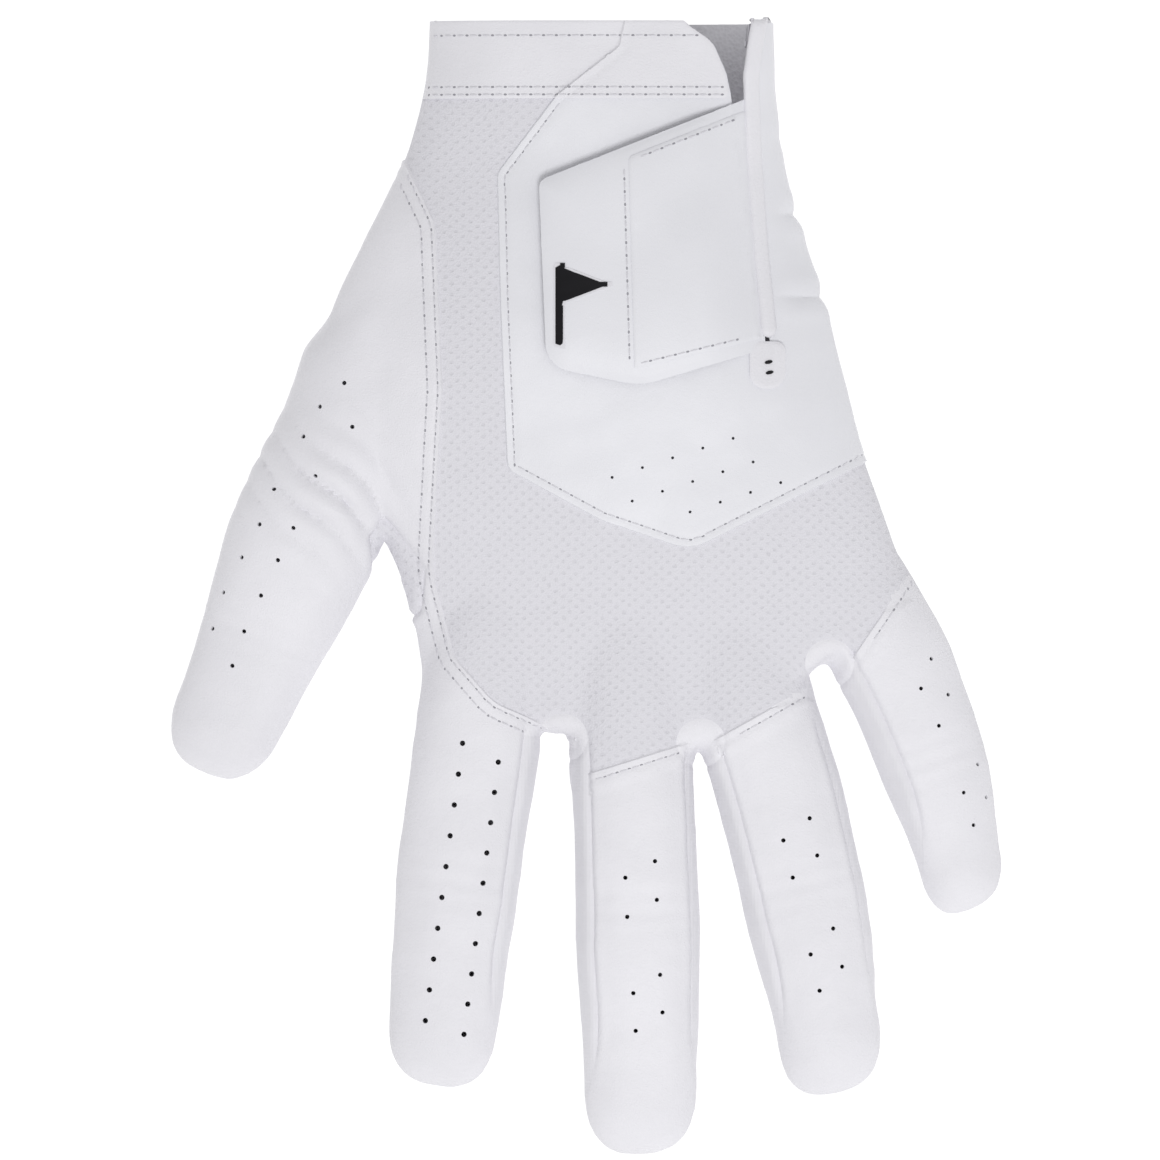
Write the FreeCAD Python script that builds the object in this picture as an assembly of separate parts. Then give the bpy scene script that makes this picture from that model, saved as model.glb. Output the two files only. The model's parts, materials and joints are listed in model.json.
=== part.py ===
import FreeCAD, Part
import math
import os

# Golf glove for the left hand, lying palm down with its fingers straight, as separate panels.
# Millimetres. +X runs from the thumb side to the little-finger side, +Y from the fingertips to
# the cuff, +Z out of the back of the hand. The origin is on the palm's flat underside.

# ---- walls and clearances ----
WALL = 1.0            # leather and textile panels, with their backing
SEAM_GAP = 0.06       # between two panels sewn edge to edge
STACK_GAP = 0.05      # between two layers sewn or laid on each other
FOLD_GAP = 0.4        # between the two sides of a flex crease
SINK = 1.2            # how much of each rounded section the flat underside cuts off

# ---- the hand: one row for each section, from cuff to knuckles ----
CUFF_Y = 119.5            # the cuff's mouth
HAND_HEIGHT = 31.0        # over the wrist, where the glove stands highest
# (y, left edge, right edge, share of HAND_HEIGHT)
HAND_SECTIONS = [
    (CUFF_Y, -33.2, 39.1, 1.0),
    (104.5, -34.4, 39.7, 0.95),
    (88.5, -38.9, 41.4, 0.90),
    (72.5, -47.4, 46.5, 0.92),
    (56.5, -55.0, 51.4, 0.935),
    (39.5, -57.5, 55.7, 0.90),
    (25.0, -52.5, 59.5, 0.84),
    (10.0, -43.5, 65.0, 0.76),
    (-5.0, -39.0, 69.5, 0.66),
    (-22.0, -37.0, 72.0, 0.55),
    (-45.0, -36.0, 73.0, 0.485),
]
HAND_SQUARENESS = 2.5     # exponent of the sections: 2 is an ellipse
SIDE_SEAM_Z = 10.0        # where the palm leather meets the back panels

# ---- digits: straight chord from a root inside the hand to the tip, bowed sideways ----
# fold_base and fold_mid are the distances from the root to the two flex creases.
DIGITS = {
    "index": {"root": (-19.6, -8.8), "tip": (-30.8, -105.9), "bow": -0.8,
              "widths": (25.0, 25.6, 24.8, 19.8), "heights": (19.5, 18.0, 16.0, 13.0),
              "fold_base": 27.4, "fold_mid": 54.0, "sides": ("right",)},
    "middle": {"root": (9.0, -11.8), "tip": (11.5, -120.4), "bow": 0.6,
               "widths": (25.0, 24.8, 24.4, 21.6), "heights": (20.0, 18.5, 16.5, 13.0),
               "fold_base": 29.0, "fold_mid": 57.0, "sides": ("left", "right")},
    "ring": {"root": (34.3, -10.7), "tip": (51.4, -107.4), "bow": 2.6,
             "widths": (25.0, 25.0, 23.8, 20.0), "heights": (19.5, 18.0, 16.0, 13.0),
             "fold_base": 27.7, "fold_mid": 53.5, "sides": ("left", "right")},
    "little": {"root": (56.1, 5.0), "tip": (79.9, -68.7), "bow": 3.4,
               "widths": (23.0, 23.4, 21.2, 16.4), "heights": (18.5, 17.0, 15.0, 12.0),
               "fold_base": 24.0, "fold_mid": 45.0, "sides": ("left",)},
    "thumb": {"root": (-46.9, 45.4), "tip": (-79.5, -40.0), "bow": -1.0,
              "widths": (31.0, 30.5, 25.4, 21.5), "heights": (25.0, 23.0, 19.0, 14.0),
              "fold_base": 31.0, "fold_mid": 60.0, "sides": ()},
}
DIGIT_SQUARENESS = 2.2
ROOT_REACH = 24.0         # a digit's body starts this far behind its root, inside the hand
ROOT_SHARE = 0.45         # and is this share of its width there
DIGIT_SEAM_Z = 8.0        # where a digit's back leather meets its palm leather
SIDE_STRIP = 4.0          # plan width of the fourchette strip that shows beside a finger's back
SIDE_STRIP_END = 12.0     # the strip stops this far before the fingertip

# ---- the gaps between the fingers, in plan: the hand ends on this line ----
WEB_LINE = [(80.0, 4.0), (49.1, -15.6), (23.6, -33.4), (-5.5, -31.0), (-45.0, -22.0)]
WEBS = {"web_ring_little": (49.1, -15.6), "web_middle_ring": (23.6, -33.4),
        "web_index_middle": (-5.0, -31.0)}
WEB_WIDTH = 9.0           # width of the crotch piece of each fourchette
WEB_DEPTH = 6.0           # how far it reaches back from the web line

# ---- the slit in the back of the cuff, left and right edge ----
BEYOND = 10.0             # how far cutting outlines run past the cuff's mouth
SLIT_LEFT = [(21.0, CUFF_Y + BEYOND), (24.5, CUFF_Y - 1.5), (28.6, CUFF_Y - 7.5), (30.2, 104.5), (37.4, 45.5)]
SLIT_RIGHT = [(39.4, 45.5), (33.6, 104.5), (34.2, CUFF_Y - 7.5), (36.6, CUFF_Y + BEYOND)]

# ---- plan outlines of the back panels: (x, y, corner radius) ----
CLOSURE_OUTLINE = [(11.0, CUFF_Y + BEYOND, 0), (6.8, 114.5, 0), (-6.4, 104.2, 2), (-18.9, 87.6, 3),
                   (-18.3, 61.0, 0), (-16.8, 24.9, 3), (3.0, 14.2, 0), (22.1, 7.7, 9), (60.0, 26.8, 0),
                   (90.0, 40.0, 0), (90.0, CUFF_Y + BEYOND, 0)]
THUMB_SIDE_OUTLINE = [(-90.0, 92.0, 0), (-39.0, 92.0, 0), (-31.7, 76.9, 12), (-30.3, 42.0, 0),
                      (-32.4, 3.0, 25), (-28.0, -14.5, 8), (-19.5, -24.3, 10), (-2.0, -32.0, 0),
                      (-10.0, -60.0, 0), (-90.0, -60.0, 0)]
BAND_LOW = 103.4          # lower edge of the band round the cuff
CUFF_BAND_OUTLINE = [(-60.0, CUFF_Y, 0), (22.5, CUFF_Y, 5), (28.2, CUFF_Y - 7.5, 5),
                     (30.0, BAND_LOW + 1.2, 0), (29.0, BAND_LOW, 0), (-60.0, BAND_LOW, 0)]
TAB_OUTLINE = [(33.2, 103.0, 0), (-10.0, 86.0, 2), (-8.4, 46.6, 6), (11.5, 42.6, 14), (36.4, 50.0, 0)]
STRAP_OUTLINE = [(33.2, 100.6, 0), (9.0, 91.0, 0), (10.2, 46.0, 0), (36.3, 52.4, 0)]
HOOK_OUTLINE = [(8.0, 90.0, 1), (-6.8, 83.6, 2), (-5.4, 49.8, 4), (8.0, 47.2, 2)]
LOOP_OUTLINE = [(26.5, 97.2, 1), (-6.8, 83.6, 2), (-5.4, 49.8, 4), (10.0, 46.8, 4), (31.5, 52.6, 1)]
BACKING_OUTLINE = [(29.0, 99.2, 0), (-8.4, 84.4, 2), (-6.8, 48.2, 5), (11.0, 44.6, 12), (32.0, 50.8, 0)]
STOP_PATCH_OUTLINE = [(34.6, 52.0, 2), (34.6, 42.0, 3.2), (42.2, 42.0, 3.2), (42.2, 52.0, 2)]

# ---- thicknesses of the pieces that lie on the back, and the gap between hooks and loops ----
LOOP_THICK = 0.85
HOOK_THICK = 0.9
HOOK_GAP = 0.1
BACKING_THICK = 0.6
TAB_THICK = 0.9
STRAP_THICK = 0.55
BAND_THICK = 0.8
PATCH_THICK = 0.85
BINDING_THICK = 1.65
EMBLEM_THICK = 0.4


def above(layer_below, thickness, gap=STACK_GAP):
    """Heights of a layer that lies on another one, above the back's surface."""
    low = layer_below[1] + gap
    return (low, low + thickness)


SURFACE = (0.0, 0.0)
LOOP_LAYER = above(SURFACE, LOOP_THICK)
HOOK_LAYER = above(LOOP_LAYER, HOOK_THICK, HOOK_GAP)
BACKING_LAYER = above(HOOK_LAYER, BACKING_THICK)
TAB_LAYER = above(BACKING_LAYER, TAB_THICK)
STRAP_LAYER = above(TAB_LAYER, STRAP_THICK)
EMBLEM_LAYER = above(TAB_LAYER, EMBLEM_THICK)
BAND_LAYER = above(SURFACE, BAND_THICK)
PATCH_LAYER = above(SURFACE, PATCH_THICK)
BINDING_LAYER = above(SURFACE, BINDING_THICK)

# ---- small pieces ----
BINDING_PATH = [(36.4, CUFF_Y - 1.3), (34.9, 108.0), (35.5, 90.0), (37.0, 70.0), (38.6, 54.5)]
BINDING_WIDTH = 3.2
HEM_DEPTH = 4.5           # hem folded into the cuff's mouth
HEM_WALL = 0.8
ELASTIC_Y = (95.0, 79.0, 61.5)
ELASTIC_WIDTH = 4.0
ELASTIC_WALL = 0.8
EMBLEM_CENTRE = (-1.0, 59.6)
EMBLEM_SIZE = (11.0, 17.0)
EMBLEM_POLE = 1.6
TACK_STITCHES = [(38.6, 47.6), (38.8, 45.4)]
TACK_LENGTH = 1.6
TACK_WIDTH = 0.8
TACK_LAYER = above(PATCH_LAYER, TACK_WIDTH)
GUSSET_OUTLINE = [(-45.6, 14.5, 2), (-35.0, 14.5, 2), (-35.0, -6.0, 2), (-45.6, -6.0, 2)]

SKY = 80.0                # higher than anything in the model
DEEP = 30.0               # lower than anything in the model
WIDE = 300.0              # further out than anything in the model
SLIVER = 0.4              # volume under which a solid is only a leftover of a cut


def vec(x, y, z=0.0):
    return FreeCAD.Vector(x, y, z)


def oval(centre, across, half_width, half_height, squareness):
    """Closed curve round centre, in the upright plane that holds the direction across."""
    points = []
    for i in range(16):
        a = 2 * math.pi * i / 16
        c, s = math.cos(a), math.sin(a)
        w = math.copysign(abs(c) ** (2 / squareness), c) * half_width
        h = math.copysign(abs(s) ** (2 / squareness), s) * half_height
        points.append(centre + across * w + vec(0, 0, h))
    curve = Part.BSplineCurve()
    curve.interpolate(Points=points, PeriodicFlag=True)
    return Part.Wire([curve.toShape()])


def outline(corners):
    """Closed wire through (x, y, radius) corners, each rounded by its own radius."""
    edges = []
    starts = []
    n = len(corners)
    for i, (x, y, r) in enumerate(corners):
        here = vec(x, y)
        to_last = (vec(*corners[i - 1][:2]) - here).normalize()
        to_next = (vec(*corners[(i + 1) % n][:2]) - here).normalize()
        if r == 0:
            starts.append((here, here, None))
            continue
        half = to_last.getAngle(to_next) / 2
        run = r / math.tan(half)
        middle = (to_last + to_next).normalize()
        bulge = here + middle * (r / math.sin(half) - r)
        starts.append((here + to_last * run, here + to_next * run, bulge))
    for i, (arc_in, arc_out, bulge) in enumerate(starts):
        if bulge is not None:
            edges.append(Part.Arc(arc_in, bulge, arc_out).toShape())
        following = starts[(i + 1) % n][0]
        if (following - arc_out).Length > 1e-6:
            edges.append(Part.LineSegment(arc_out, following).toShape())
    return Part.Wire(Part.sortEdges(edges)[0])


def prism(corners, low=-DEEP, high=SKY):
    """Upright solid over a plan outline."""
    face = Part.Face(outline([(c[0], c[1], c[2] if len(c) > 2 else 0) for c in corners]))
    face.translate(vec(0, 0, low))
    return face.extrude(vec(0, 0, high - low))


def slab(low, high):
    """Everything between two heights."""
    return Part.makeBox(2 * WIDE, 2 * WIDE, high - low, vec(-WIDE, -WIDE, low))


def hand_solid(grow):
    """The hand's rounded body, grown outwards by a distance, with its flat underside."""
    wires = []
    for y, left, right, height_share in HAND_SECTIONS:
        height = HAND_HEIGHT * height_share
        centre = vec((left + right) / 2, y, height / 2 - SINK)
        wires.append(oval(centre, vec(1, 0), (right - left) / 2 + grow, height / 2 + grow, HAND_SQUARENESS))
    if grow < 0:
        cuff = wires[0].copy()
        cuff.translate(vec(0, BEYOND, 0))
        wires.insert(0, cuff)
    body = Part.makeLoft(wires, True, True)
    return body.cut(slab(-DEEP, max(0.0, -grow)))


def hand_block(grow):
    """The hand's body ended on the web line, which moves towards the fingertips as it grows."""
    line = [(x, y - grow) for x, y in WEB_LINE]
    keep = prism(line + [(-WIDE, line[-1][1]), (-WIDE, WIDE), (WIDE, WIDE), (WIDE, line[0][1])])
    return hand_solid(grow).common(keep)


def digit_axes(d):
    """Root, direction towards the tip, direction to the right, and length of the chord."""
    root, tip = vec(*d["root"]), vec(*d["tip"])
    along = (tip - root).normalize()
    return root, along, vec(-along.y, along.x), (tip - root).Length


def share(values, t):
    """Value at t, from 0 to 1, on evenly spaced values joined by straight lines."""
    place = min(max(t, 0.0), 1.0) * (len(values) - 1)
    i = min(int(place), len(values) - 2)
    return values[i] + (values[i + 1] - values[i]) * (place - i)


def digit_solid(d, grow):
    """A digit's rounded body from its root to its closed tip, with its flat underside."""
    root, along, right, length = digit_axes(d)
    tip_round = d["widths"][-1] / 2
    body = length - tip_round
    places = [(body * t, 1.0) for t in (0.0, 0.2, 0.4, 0.6, 0.8, 1.0)]
    places += [(body + (tip_round + grow) * math.sin(math.radians(a)), math.cos(math.radians(a)))
               for a in (20, 40, 58, 72, 82)]
    start = root - along * ROOT_REACH + vec(0, 0, d["heights"][0] / 2 - SINK)
    wires = [oval(start, right, d["widths"][0] / 2 * ROOT_SHARE + grow, d["heights"][0] / 2 + grow,
                  DIGIT_SQUARENESS)]
    for s, taper in places:
        t = s / length
        width = share(d["widths"], s / body) / 2
        height = share(d["heights"], s / body) / 2
        sideways = d["bow"] * 4 * t * (1 - t)
        low = height - SINK
        centre = root + along * s + right * sideways + vec(0, 0, low * (0.6 + 0.4 * taper))
        wires.append(oval(centre, right, (width + grow) * taper, (height + grow) * taper, DIGIT_SQUARENESS))
    body = Part.makeLoft(wires, True, True)
    return body.cut(slab(-DEEP, max(0.0, -grow)))


def stretch(d, start, end):
    """Block that holds the part of a digit between two distances from its root."""
    root, along, right, _ = digit_axes(d)
    corners = [root + along * start - right * 60, root + along * start + right * 60,
               root + along * end + right * 60, root + along * end - right * 60]
    return prism([(p.x, p.y) for p in corners])


def strip_blocks(d):
    """For each side with a fourchette, the block beside the finger's back that the strip fills."""
    root, along, right, length = digit_axes(d)
    blocks = []
    for side in d["sides"]:
        sign = 1 if side == "right" else -1
        line = []
        for t in (0.0, 0.3, 0.6, 1.0):
            s = t * (length - SIDE_STRIP_END)
            sideways = d["bow"] * 4 * (s / length) * (1 - s / length)
            width = share(d["widths"], s / (length - d["widths"][-1] / 2)) / 2 - SIDE_STRIP
            line.append(root + along * s + right * (sideways + sign * width))
        outer = [p + right * (sign * 30) for p in reversed(line)]
        blocks.append(prism([(p.x, p.y) for p in line + outer]))
    return blocks


def save(name, shape):
    """Write one node, after dropping slivers that cutting leaves behind."""
    solids = [s for s in shape.Solids if s.Volume > SLIVER]
    if not solids:
        raise ValueError(name + " came out empty")
    for s in solids:
        if not s.isValid() or s.Volume <= 0:
            print("warning: bad solid in", name)
    whole = solids[0] if len(solids) == 1 else Part.makeCompound(solids)
    whole.exportStep("parts/" + name + ".step")
    box = whole.BoundBox
    print("%-22s %2d solid(s) %8.1f mm3  x %6.1f..%6.1f y %6.1f..%6.1f z %5.2f..%5.2f" % (
        name, len(solids), sum(s.Volume for s in solids), box.XMin, box.XMax, box.YMin, box.YMax,
        box.ZMin, box.ZMax))


def make_digit(name, d):
    """The two moving lengths of a digit, each as back, palm side and fourchette strips."""
    _, _, _, length = digit_axes(d)
    whole = digit_solid(d, 0).cut(digit_solid(d, -WALL))
    half_gap = FOLD_GAP / 2
    lengths = {"base": (d["fold_base"] + half_gap, d["fold_mid"] - half_gap),
               "tip": (d["fold_mid"] + half_gap, length + 5)}
    strips = strip_blocks(d)
    for part, (start, end) in lengths.items():
        piece = whole.common(stretch(d, start, end))
        back = piece.common(slab(DIGIT_SEAM_Z + SEAM_GAP / 2, SKY))
        front = piece.common(slab(-DEEP, DIGIT_SEAM_Z - SEAM_GAP / 2))
        sides = []
        for strip in strips:
            sides += piece.common(strip).Solids
            back = back.cut(strip)
            front = front.cut(strip)
        save(name + "_back_" + part, back)
        save(name + "_palm_" + part, front)
        if sides:
            save(name + "_fourchette_" + part, Part.makeCompound(sides))


def hand_shell():
    """The hand's wall with the roots of the digits, open at the cuff and into each digit."""
    outer = hand_block(0)
    inner = hand_block(-WALL)
    for d in DIGITS.values():
        end = d["fold_base"] - FOLD_GAP / 2
        outer = outer.fuse(digit_solid(d, 0).common(stretch(d, -ROOT_REACH - 1, end)))
        inner = inner.fuse(digit_solid(d, -WALL).common(stretch(d, -ROOT_REACH - 1, end + 5)))
    return outer.cut(inner)


def make_hand():
    shell = hand_shell().cut(prism(SLIT_LEFT + SLIT_RIGHT, SIDE_SEAM_Z))
    upper = shell.common(slab(SIDE_SEAM_Z + SEAM_GAP / 2, SKY))
    lower = shell.common(slab(-DEEP, SIDE_SEAM_Z - SEAM_GAP / 2))
    webs = {}
    for name, (x, y) in WEBS.items():
        block = prism([(x - WEB_WIDTH / 2, y - 8), (x + WEB_WIDTH / 2, y - 8),
                       (x + WEB_WIDTH / 2, y + WEB_DEPTH), (x - WEB_WIDTH / 2, y + WEB_DEPTH)], 2.5)
        webs[name] = block
    gusset = prism(GUSSET_OUTLINE, 4.0, 19.0)
    for name, block in webs.items():
        save(name, shell.common(block))
        upper = upper.cut(block)
        lower = lower.cut(block)
    save("thumb_gusset", shell.common(gusset))
    upper = upper.cut(gusset)
    lower = lower.cut(gusset)
    closure = prism(CLOSURE_OUTLINE)
    thumb_side = prism(THUMB_SIDE_OUTLINE)
    save("closure_panel", upper.common(closure))
    save("thumb_side_leather", upper.common(thumb_side))
    save("back_mesh", upper.cut(closure).cut(thumb_side))
    save("palm_leather", lower)


def layer(corners, heights):
    """A piece that lies on the back of the hand, between two heights above its surface."""
    low, high = heights
    sheet = hand_solid(high).cut(hand_solid(low))
    return sheet.common(prism(corners, SIDE_SEAM_Z))


def ribbon(path, width):
    """Plan outline of a strip of one width along a path."""
    left, right = [], []
    for i, (x, y) in enumerate(path):
        x0, y0 = path[max(i - 1, 0)]
        x1, y1 = path[min(i + 1, len(path) - 1)]
        across = vec(y1 - y0, x0 - x1).normalize() * (width / 2)
        left.append((x - across.x, y - across.y))
        right.append((x + across.x, y + across.y))
    return left + right[::-1]


def make_cuff():
    save("cuff_band", layer(CUFF_BAND_OUTLINE, BAND_LAYER))
    mouth = Part.makeBox(2 * WIDE, HEM_DEPTH, SKY + DEEP, vec(-WIDE, CUFF_Y - HEM_DEPTH, -DEEP))
    hem = hand_solid(-WALL - STACK_GAP).cut(hand_solid(-WALL - STACK_GAP - HEM_WALL)).common(mouth)
    save("cuff_hem", hem.cut(prism(SLIT_LEFT + SLIT_RIGHT, SIDE_SEAM_Z)))
    inside = hand_solid(-WALL - STACK_GAP).cut(hand_solid(-WALL - STACK_GAP - ELASTIC_WALL))
    inside = inside.common(slab(0, SIDE_SEAM_Z))
    bands = []
    for y in ELASTIC_Y:
        band = Part.makeBox(2 * WIDE, ELASTIC_WIDTH, SKY, vec(-WIDE, y - ELASTIC_WIDTH / 2, 0))
        bands += inside.common(band).Solids
    save("wrist_elastics", Part.makeCompound(bands))
    save("slit_stop_patch", layer(STOP_PATCH_OUTLINE, PATCH_LAYER))
    binding = layer(ribbon(BINDING_PATH, BINDING_WIDTH), BINDING_LAYER)
    save("slit_binding", binding.cut(prism(STOP_PATCH_OUTLINE)))
    tacks = []
    for x, y in TACK_STITCHES:
        spot = [(x - TACK_WIDTH / 2, y - TACK_LENGTH / 2), (x + TACK_WIDTH / 2, y - TACK_LENGTH / 2),
                (x + TACK_WIDTH / 2, y + TACK_LENGTH / 2), (x - TACK_WIDTH / 2, y + TACK_LENGTH / 2)]
        tacks += layer(spot, TACK_LAYER).Solids
    save("slit_bar_tack", Part.makeCompound(tacks))


def emblem_outline():
    """A plain pin flag: a pole on a foot, with a pennant at its top."""
    x, y = EMBLEM_CENTRE
    width, height = EMBLEM_SIZE
    pole_left = x - width * 0.3
    pole_right = pole_left + EMBLEM_POLE
    top, bottom = y + height / 2, y - height / 2
    return [(pole_left, top), (pole_right, top), (x + width / 2, top - height * 0.22),
            (pole_right, top - height * 0.44), (pole_right, bottom + EMBLEM_POLE),
            (x + width * 0.3, bottom + EMBLEM_POLE), (x + width * 0.3, bottom),
            (x - width / 2, bottom), (x - width / 2, bottom + EMBLEM_POLE),
            (pole_left, bottom + EMBLEM_POLE)]


def make_closure():
    save("loop_patch", layer(LOOP_OUTLINE, LOOP_LAYER))
    save("hook_patch", layer(HOOK_OUTLINE, HOOK_LAYER))
    save("tab_backing", layer(BACKING_OUTLINE, BACKING_LAYER))
    save("tab_leather", layer(TAB_OUTLINE, TAB_LAYER))
    save("tab_strap", layer(STRAP_OUTLINE, STRAP_LAYER))
    save("tab_emblem", layer(emblem_outline(), EMBLEM_LAYER))


def main():
    os.makedirs("parts", exist_ok=True)
    make_hand()
    make_cuff()
    make_closure()
    for name, d in DIGITS.items():
        make_digit(name, d)


main()
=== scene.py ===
# %% [markdown]
# # A golf glove, lying palm down
# A golf glove is cut flat from thin leather and knit, and sewn into a hollow hand. What the eye reads is
# the sewing: where one panel laps over the next, where two edges are rolled together along a finger, and
# where rows of stitches pull the leather down. So this lesson makes the hand once, as one smooth skin,
# and then does what the cutter does: it scores the pattern's lines into that skin, raises and sinks it
# along them, cuts it into panels, and gives each panel its thickness.
# Everything is modelled in millimetres, and scaled into the frame's metres when a piece is finished.

# %% The frame
import json
import math

import bmesh
import bpy
import numpy as np
from mathutils import Matrix, Vector, noise
from mathutils.bvhtree import BVHTree


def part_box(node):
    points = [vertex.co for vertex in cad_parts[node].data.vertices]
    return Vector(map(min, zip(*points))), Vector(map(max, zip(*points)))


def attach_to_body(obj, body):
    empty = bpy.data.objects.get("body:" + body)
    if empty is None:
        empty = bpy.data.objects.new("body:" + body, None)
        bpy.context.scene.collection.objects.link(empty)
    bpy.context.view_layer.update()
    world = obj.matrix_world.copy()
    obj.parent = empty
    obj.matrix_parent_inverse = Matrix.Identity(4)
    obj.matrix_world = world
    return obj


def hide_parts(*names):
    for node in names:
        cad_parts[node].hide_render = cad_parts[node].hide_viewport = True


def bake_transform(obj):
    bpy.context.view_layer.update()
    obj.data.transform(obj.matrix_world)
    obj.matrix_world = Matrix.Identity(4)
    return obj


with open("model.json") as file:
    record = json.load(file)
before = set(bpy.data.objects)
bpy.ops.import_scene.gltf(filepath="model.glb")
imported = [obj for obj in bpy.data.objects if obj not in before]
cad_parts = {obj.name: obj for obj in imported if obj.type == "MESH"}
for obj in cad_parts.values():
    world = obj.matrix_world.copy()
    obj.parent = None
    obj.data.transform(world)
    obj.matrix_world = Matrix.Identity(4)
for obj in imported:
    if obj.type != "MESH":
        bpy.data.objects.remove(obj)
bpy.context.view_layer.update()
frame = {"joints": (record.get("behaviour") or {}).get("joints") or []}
MM = 0.001
joints = {j["name"]: j for j in frame["joints"]}

# %% [markdown]
# ## Floor, lights and camera
# White leather on a white floor needs light that is soft but not even, or the glove melts into the
# floor. A bright world fills everything, a large panel lights it from beyond the fingertips, and what
# turns away from both goes grey. The floor is an opal table lit from below, so nothing throws a shadow
# on it. The camera looks straight down from far off with a long lens, which keeps perspective small.

# %% Floor, lights and camera
VIEW_SIDE = 246.5 * MM          # the square of floor that the picture takes in
VIEW_CENTRE = Vector((-1.3, 1.5, 0.0)) * MM
CAMERA_HEIGHT = 6.0

world = bpy.data.worlds.new("studio")
bpy.context.scene.world = world
world.use_nodes = True
sky = world.node_tree.nodes["Background"].inputs
sky["Color"].default_value = (1.0, 1.0, 1.0, 1.0)
sky["Strength"].default_value = 0.58


def area_light(name, place, target, side, watts):
    """A square soft light at place, facing target."""
    data = bpy.data.lights.new(name, "AREA")
    data.shape = "SQUARE"
    data.size = side
    data.energy = watts
    light = bpy.data.objects.new(name, data)
    light.location = place
    light.rotation_euler = (Vector(target) - Vector(place)).to_track_quat("-Z", "Y").to_euler()
    bpy.context.scene.collection.objects.link(light)
    return light


area_light("overhead", (0.15, -0.6, 1.3), (0, 0, 0), 0.6, 9.0)

floor_mesh = bpy.data.meshes.new("floor")
bm = bmesh.new()
bmesh.ops.create_grid(bm, x_segments=1, y_segments=1, size=3.0, matrix=Matrix.Translation((0, 0, -0.0003)))
bm.to_mesh(floor_mesh)
bm.free()
floor = bpy.data.objects.new("floor", floor_mesh)
bpy.context.scene.collection.objects.link(floor)
acrylic = bpy.data.materials.new("opal acrylic, lit from below")
acrylic.use_nodes = True
for socket, value in (("Base Color", (0.1, 0.1, 0.1, 1.0)), ("Roughness", 0.9),
                      ("Emission Color", (1.0, 1.0, 1.0, 1.0)), ("Emission Strength", 1.0)):
    acrylic.node_tree.nodes["Principled BSDF"].inputs[socket].default_value = value
floor_mesh.materials.append(acrylic)

camera_data = bpy.data.cameras.new("camera")
camera_data.sensor_width = 36.0
camera_data.lens = camera_data.sensor_width * CAMERA_HEIGHT / VIEW_SIDE
camera = bpy.data.objects.new("camera", camera_data)
camera.location = VIEW_CENTRE + Vector((0, 0, CAMERA_HEIGHT))
bpy.context.scene.collection.objects.link(camera)
bpy.context.scene.camera = camera
print("camera lens", round(camera_data.lens), "mm")

# %% [markdown]
# ## The hand's sections
# A hollow glove keeps the shape of the hand it was pressed on: rounded on the back, flat where it lies.
# Its body is a loft through rounded-square sections from cuff to knuckles, and each digit is a loft
# along its own line, bowed a little sideways. The tables give what a tailor would measure; between
# their rows the values are smoothed, so that no section shows.

# %% The hand's sections
CUFF_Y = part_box("cuff_hem")[1].y / MM
HAND_HEIGHT = 31.0
SINK = 1.2                      # how much of each section the flat underside takes off
# y, left edge, right edge, share of HAND_HEIGHT
HAND_SECTIONS = np.array([
    (CUFF_Y + 12, -33.2, 39.1, 1.0), (CUFF_Y, -33.2, 39.1, 1.0), (104.5, -34.4, 39.7, 0.95),
    (88.5, -38.9, 41.4, 0.90), (72.5, -47.4, 46.5, 0.92), (56.5, -55.0, 51.4, 0.935),
    (39.5, -57.5, 55.7, 0.90), (25.0, -52.5, 59.5, 0.84), (10.0, -41.5, 65.0, 0.76),
    (-5.0, -36.5, 69.5, 0.66), (-22.0, -34.0, 72.0, 0.55), (-45.0, -34.0, 73.0, 0.485)])
HAND_SQUARENESS = 2.5
WEB_LINE = [(80.0, 5.0), (48.8, -16.4), (22.8, -34.0), (-5.6, -30.6), (-45.0, -20.0)]

DIGITS = {
    "index": {"root": (-19.6, -8.8), "tip": (-31.6, -105.9), "bow": -0.8,
              "widths": (25.0, 25.6, 26.0, 22.4), "heights": (19.5, 18.0, 16.0, 13.0), "sides": {1: 3.0}},
    "middle": {"root": (8.8, -11.8), "tip": (11.8, -120.4), "bow": 0.4,
               "widths": (25.0, 25.4, 26.0, 23.2), "heights": (20.0, 18.5, 16.5, 13.0),
               "sides": {-1: 3.4, 1: 1.2}},
    "ring": {"root": (30.6, -10.7), "tip": (53.2, -107.2), "bow": 2.6,
             "widths": (26.0, 26.2, 25.8, 21.6), "heights": (19.5, 18.0, 16.0, 13.0),
             "sides": {-1: 3.8, 1: 1.2}},
    "little": {"root": (53.8, 5.0), "tip": (81.4, -68.4), "bow": 3.8,
               "widths": (23.0, 24.8, 22.8, 17.4), "heights": (18.5, 17.0, 15.0, 12.0), "sides": {-1: 5.2}},
    "thumb": {"root": (-46.9, 45.4), "tip": (-80.8, -38.8), "bow": 1.0,
              "widths": (26.6, 25.9, 29.6, 31.4, 28.0, 24.4, 22.0), "heights": (25.0, 23.0, 19.0, 14.0),
              "sides": {}},
}
DIGIT_SQUARENESS = 2.3
ROOT_REACH = 24.0               # each digit's loft starts this far back, inside the hand
ROOT_SHARE = 0.45               # and this narrow

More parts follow.
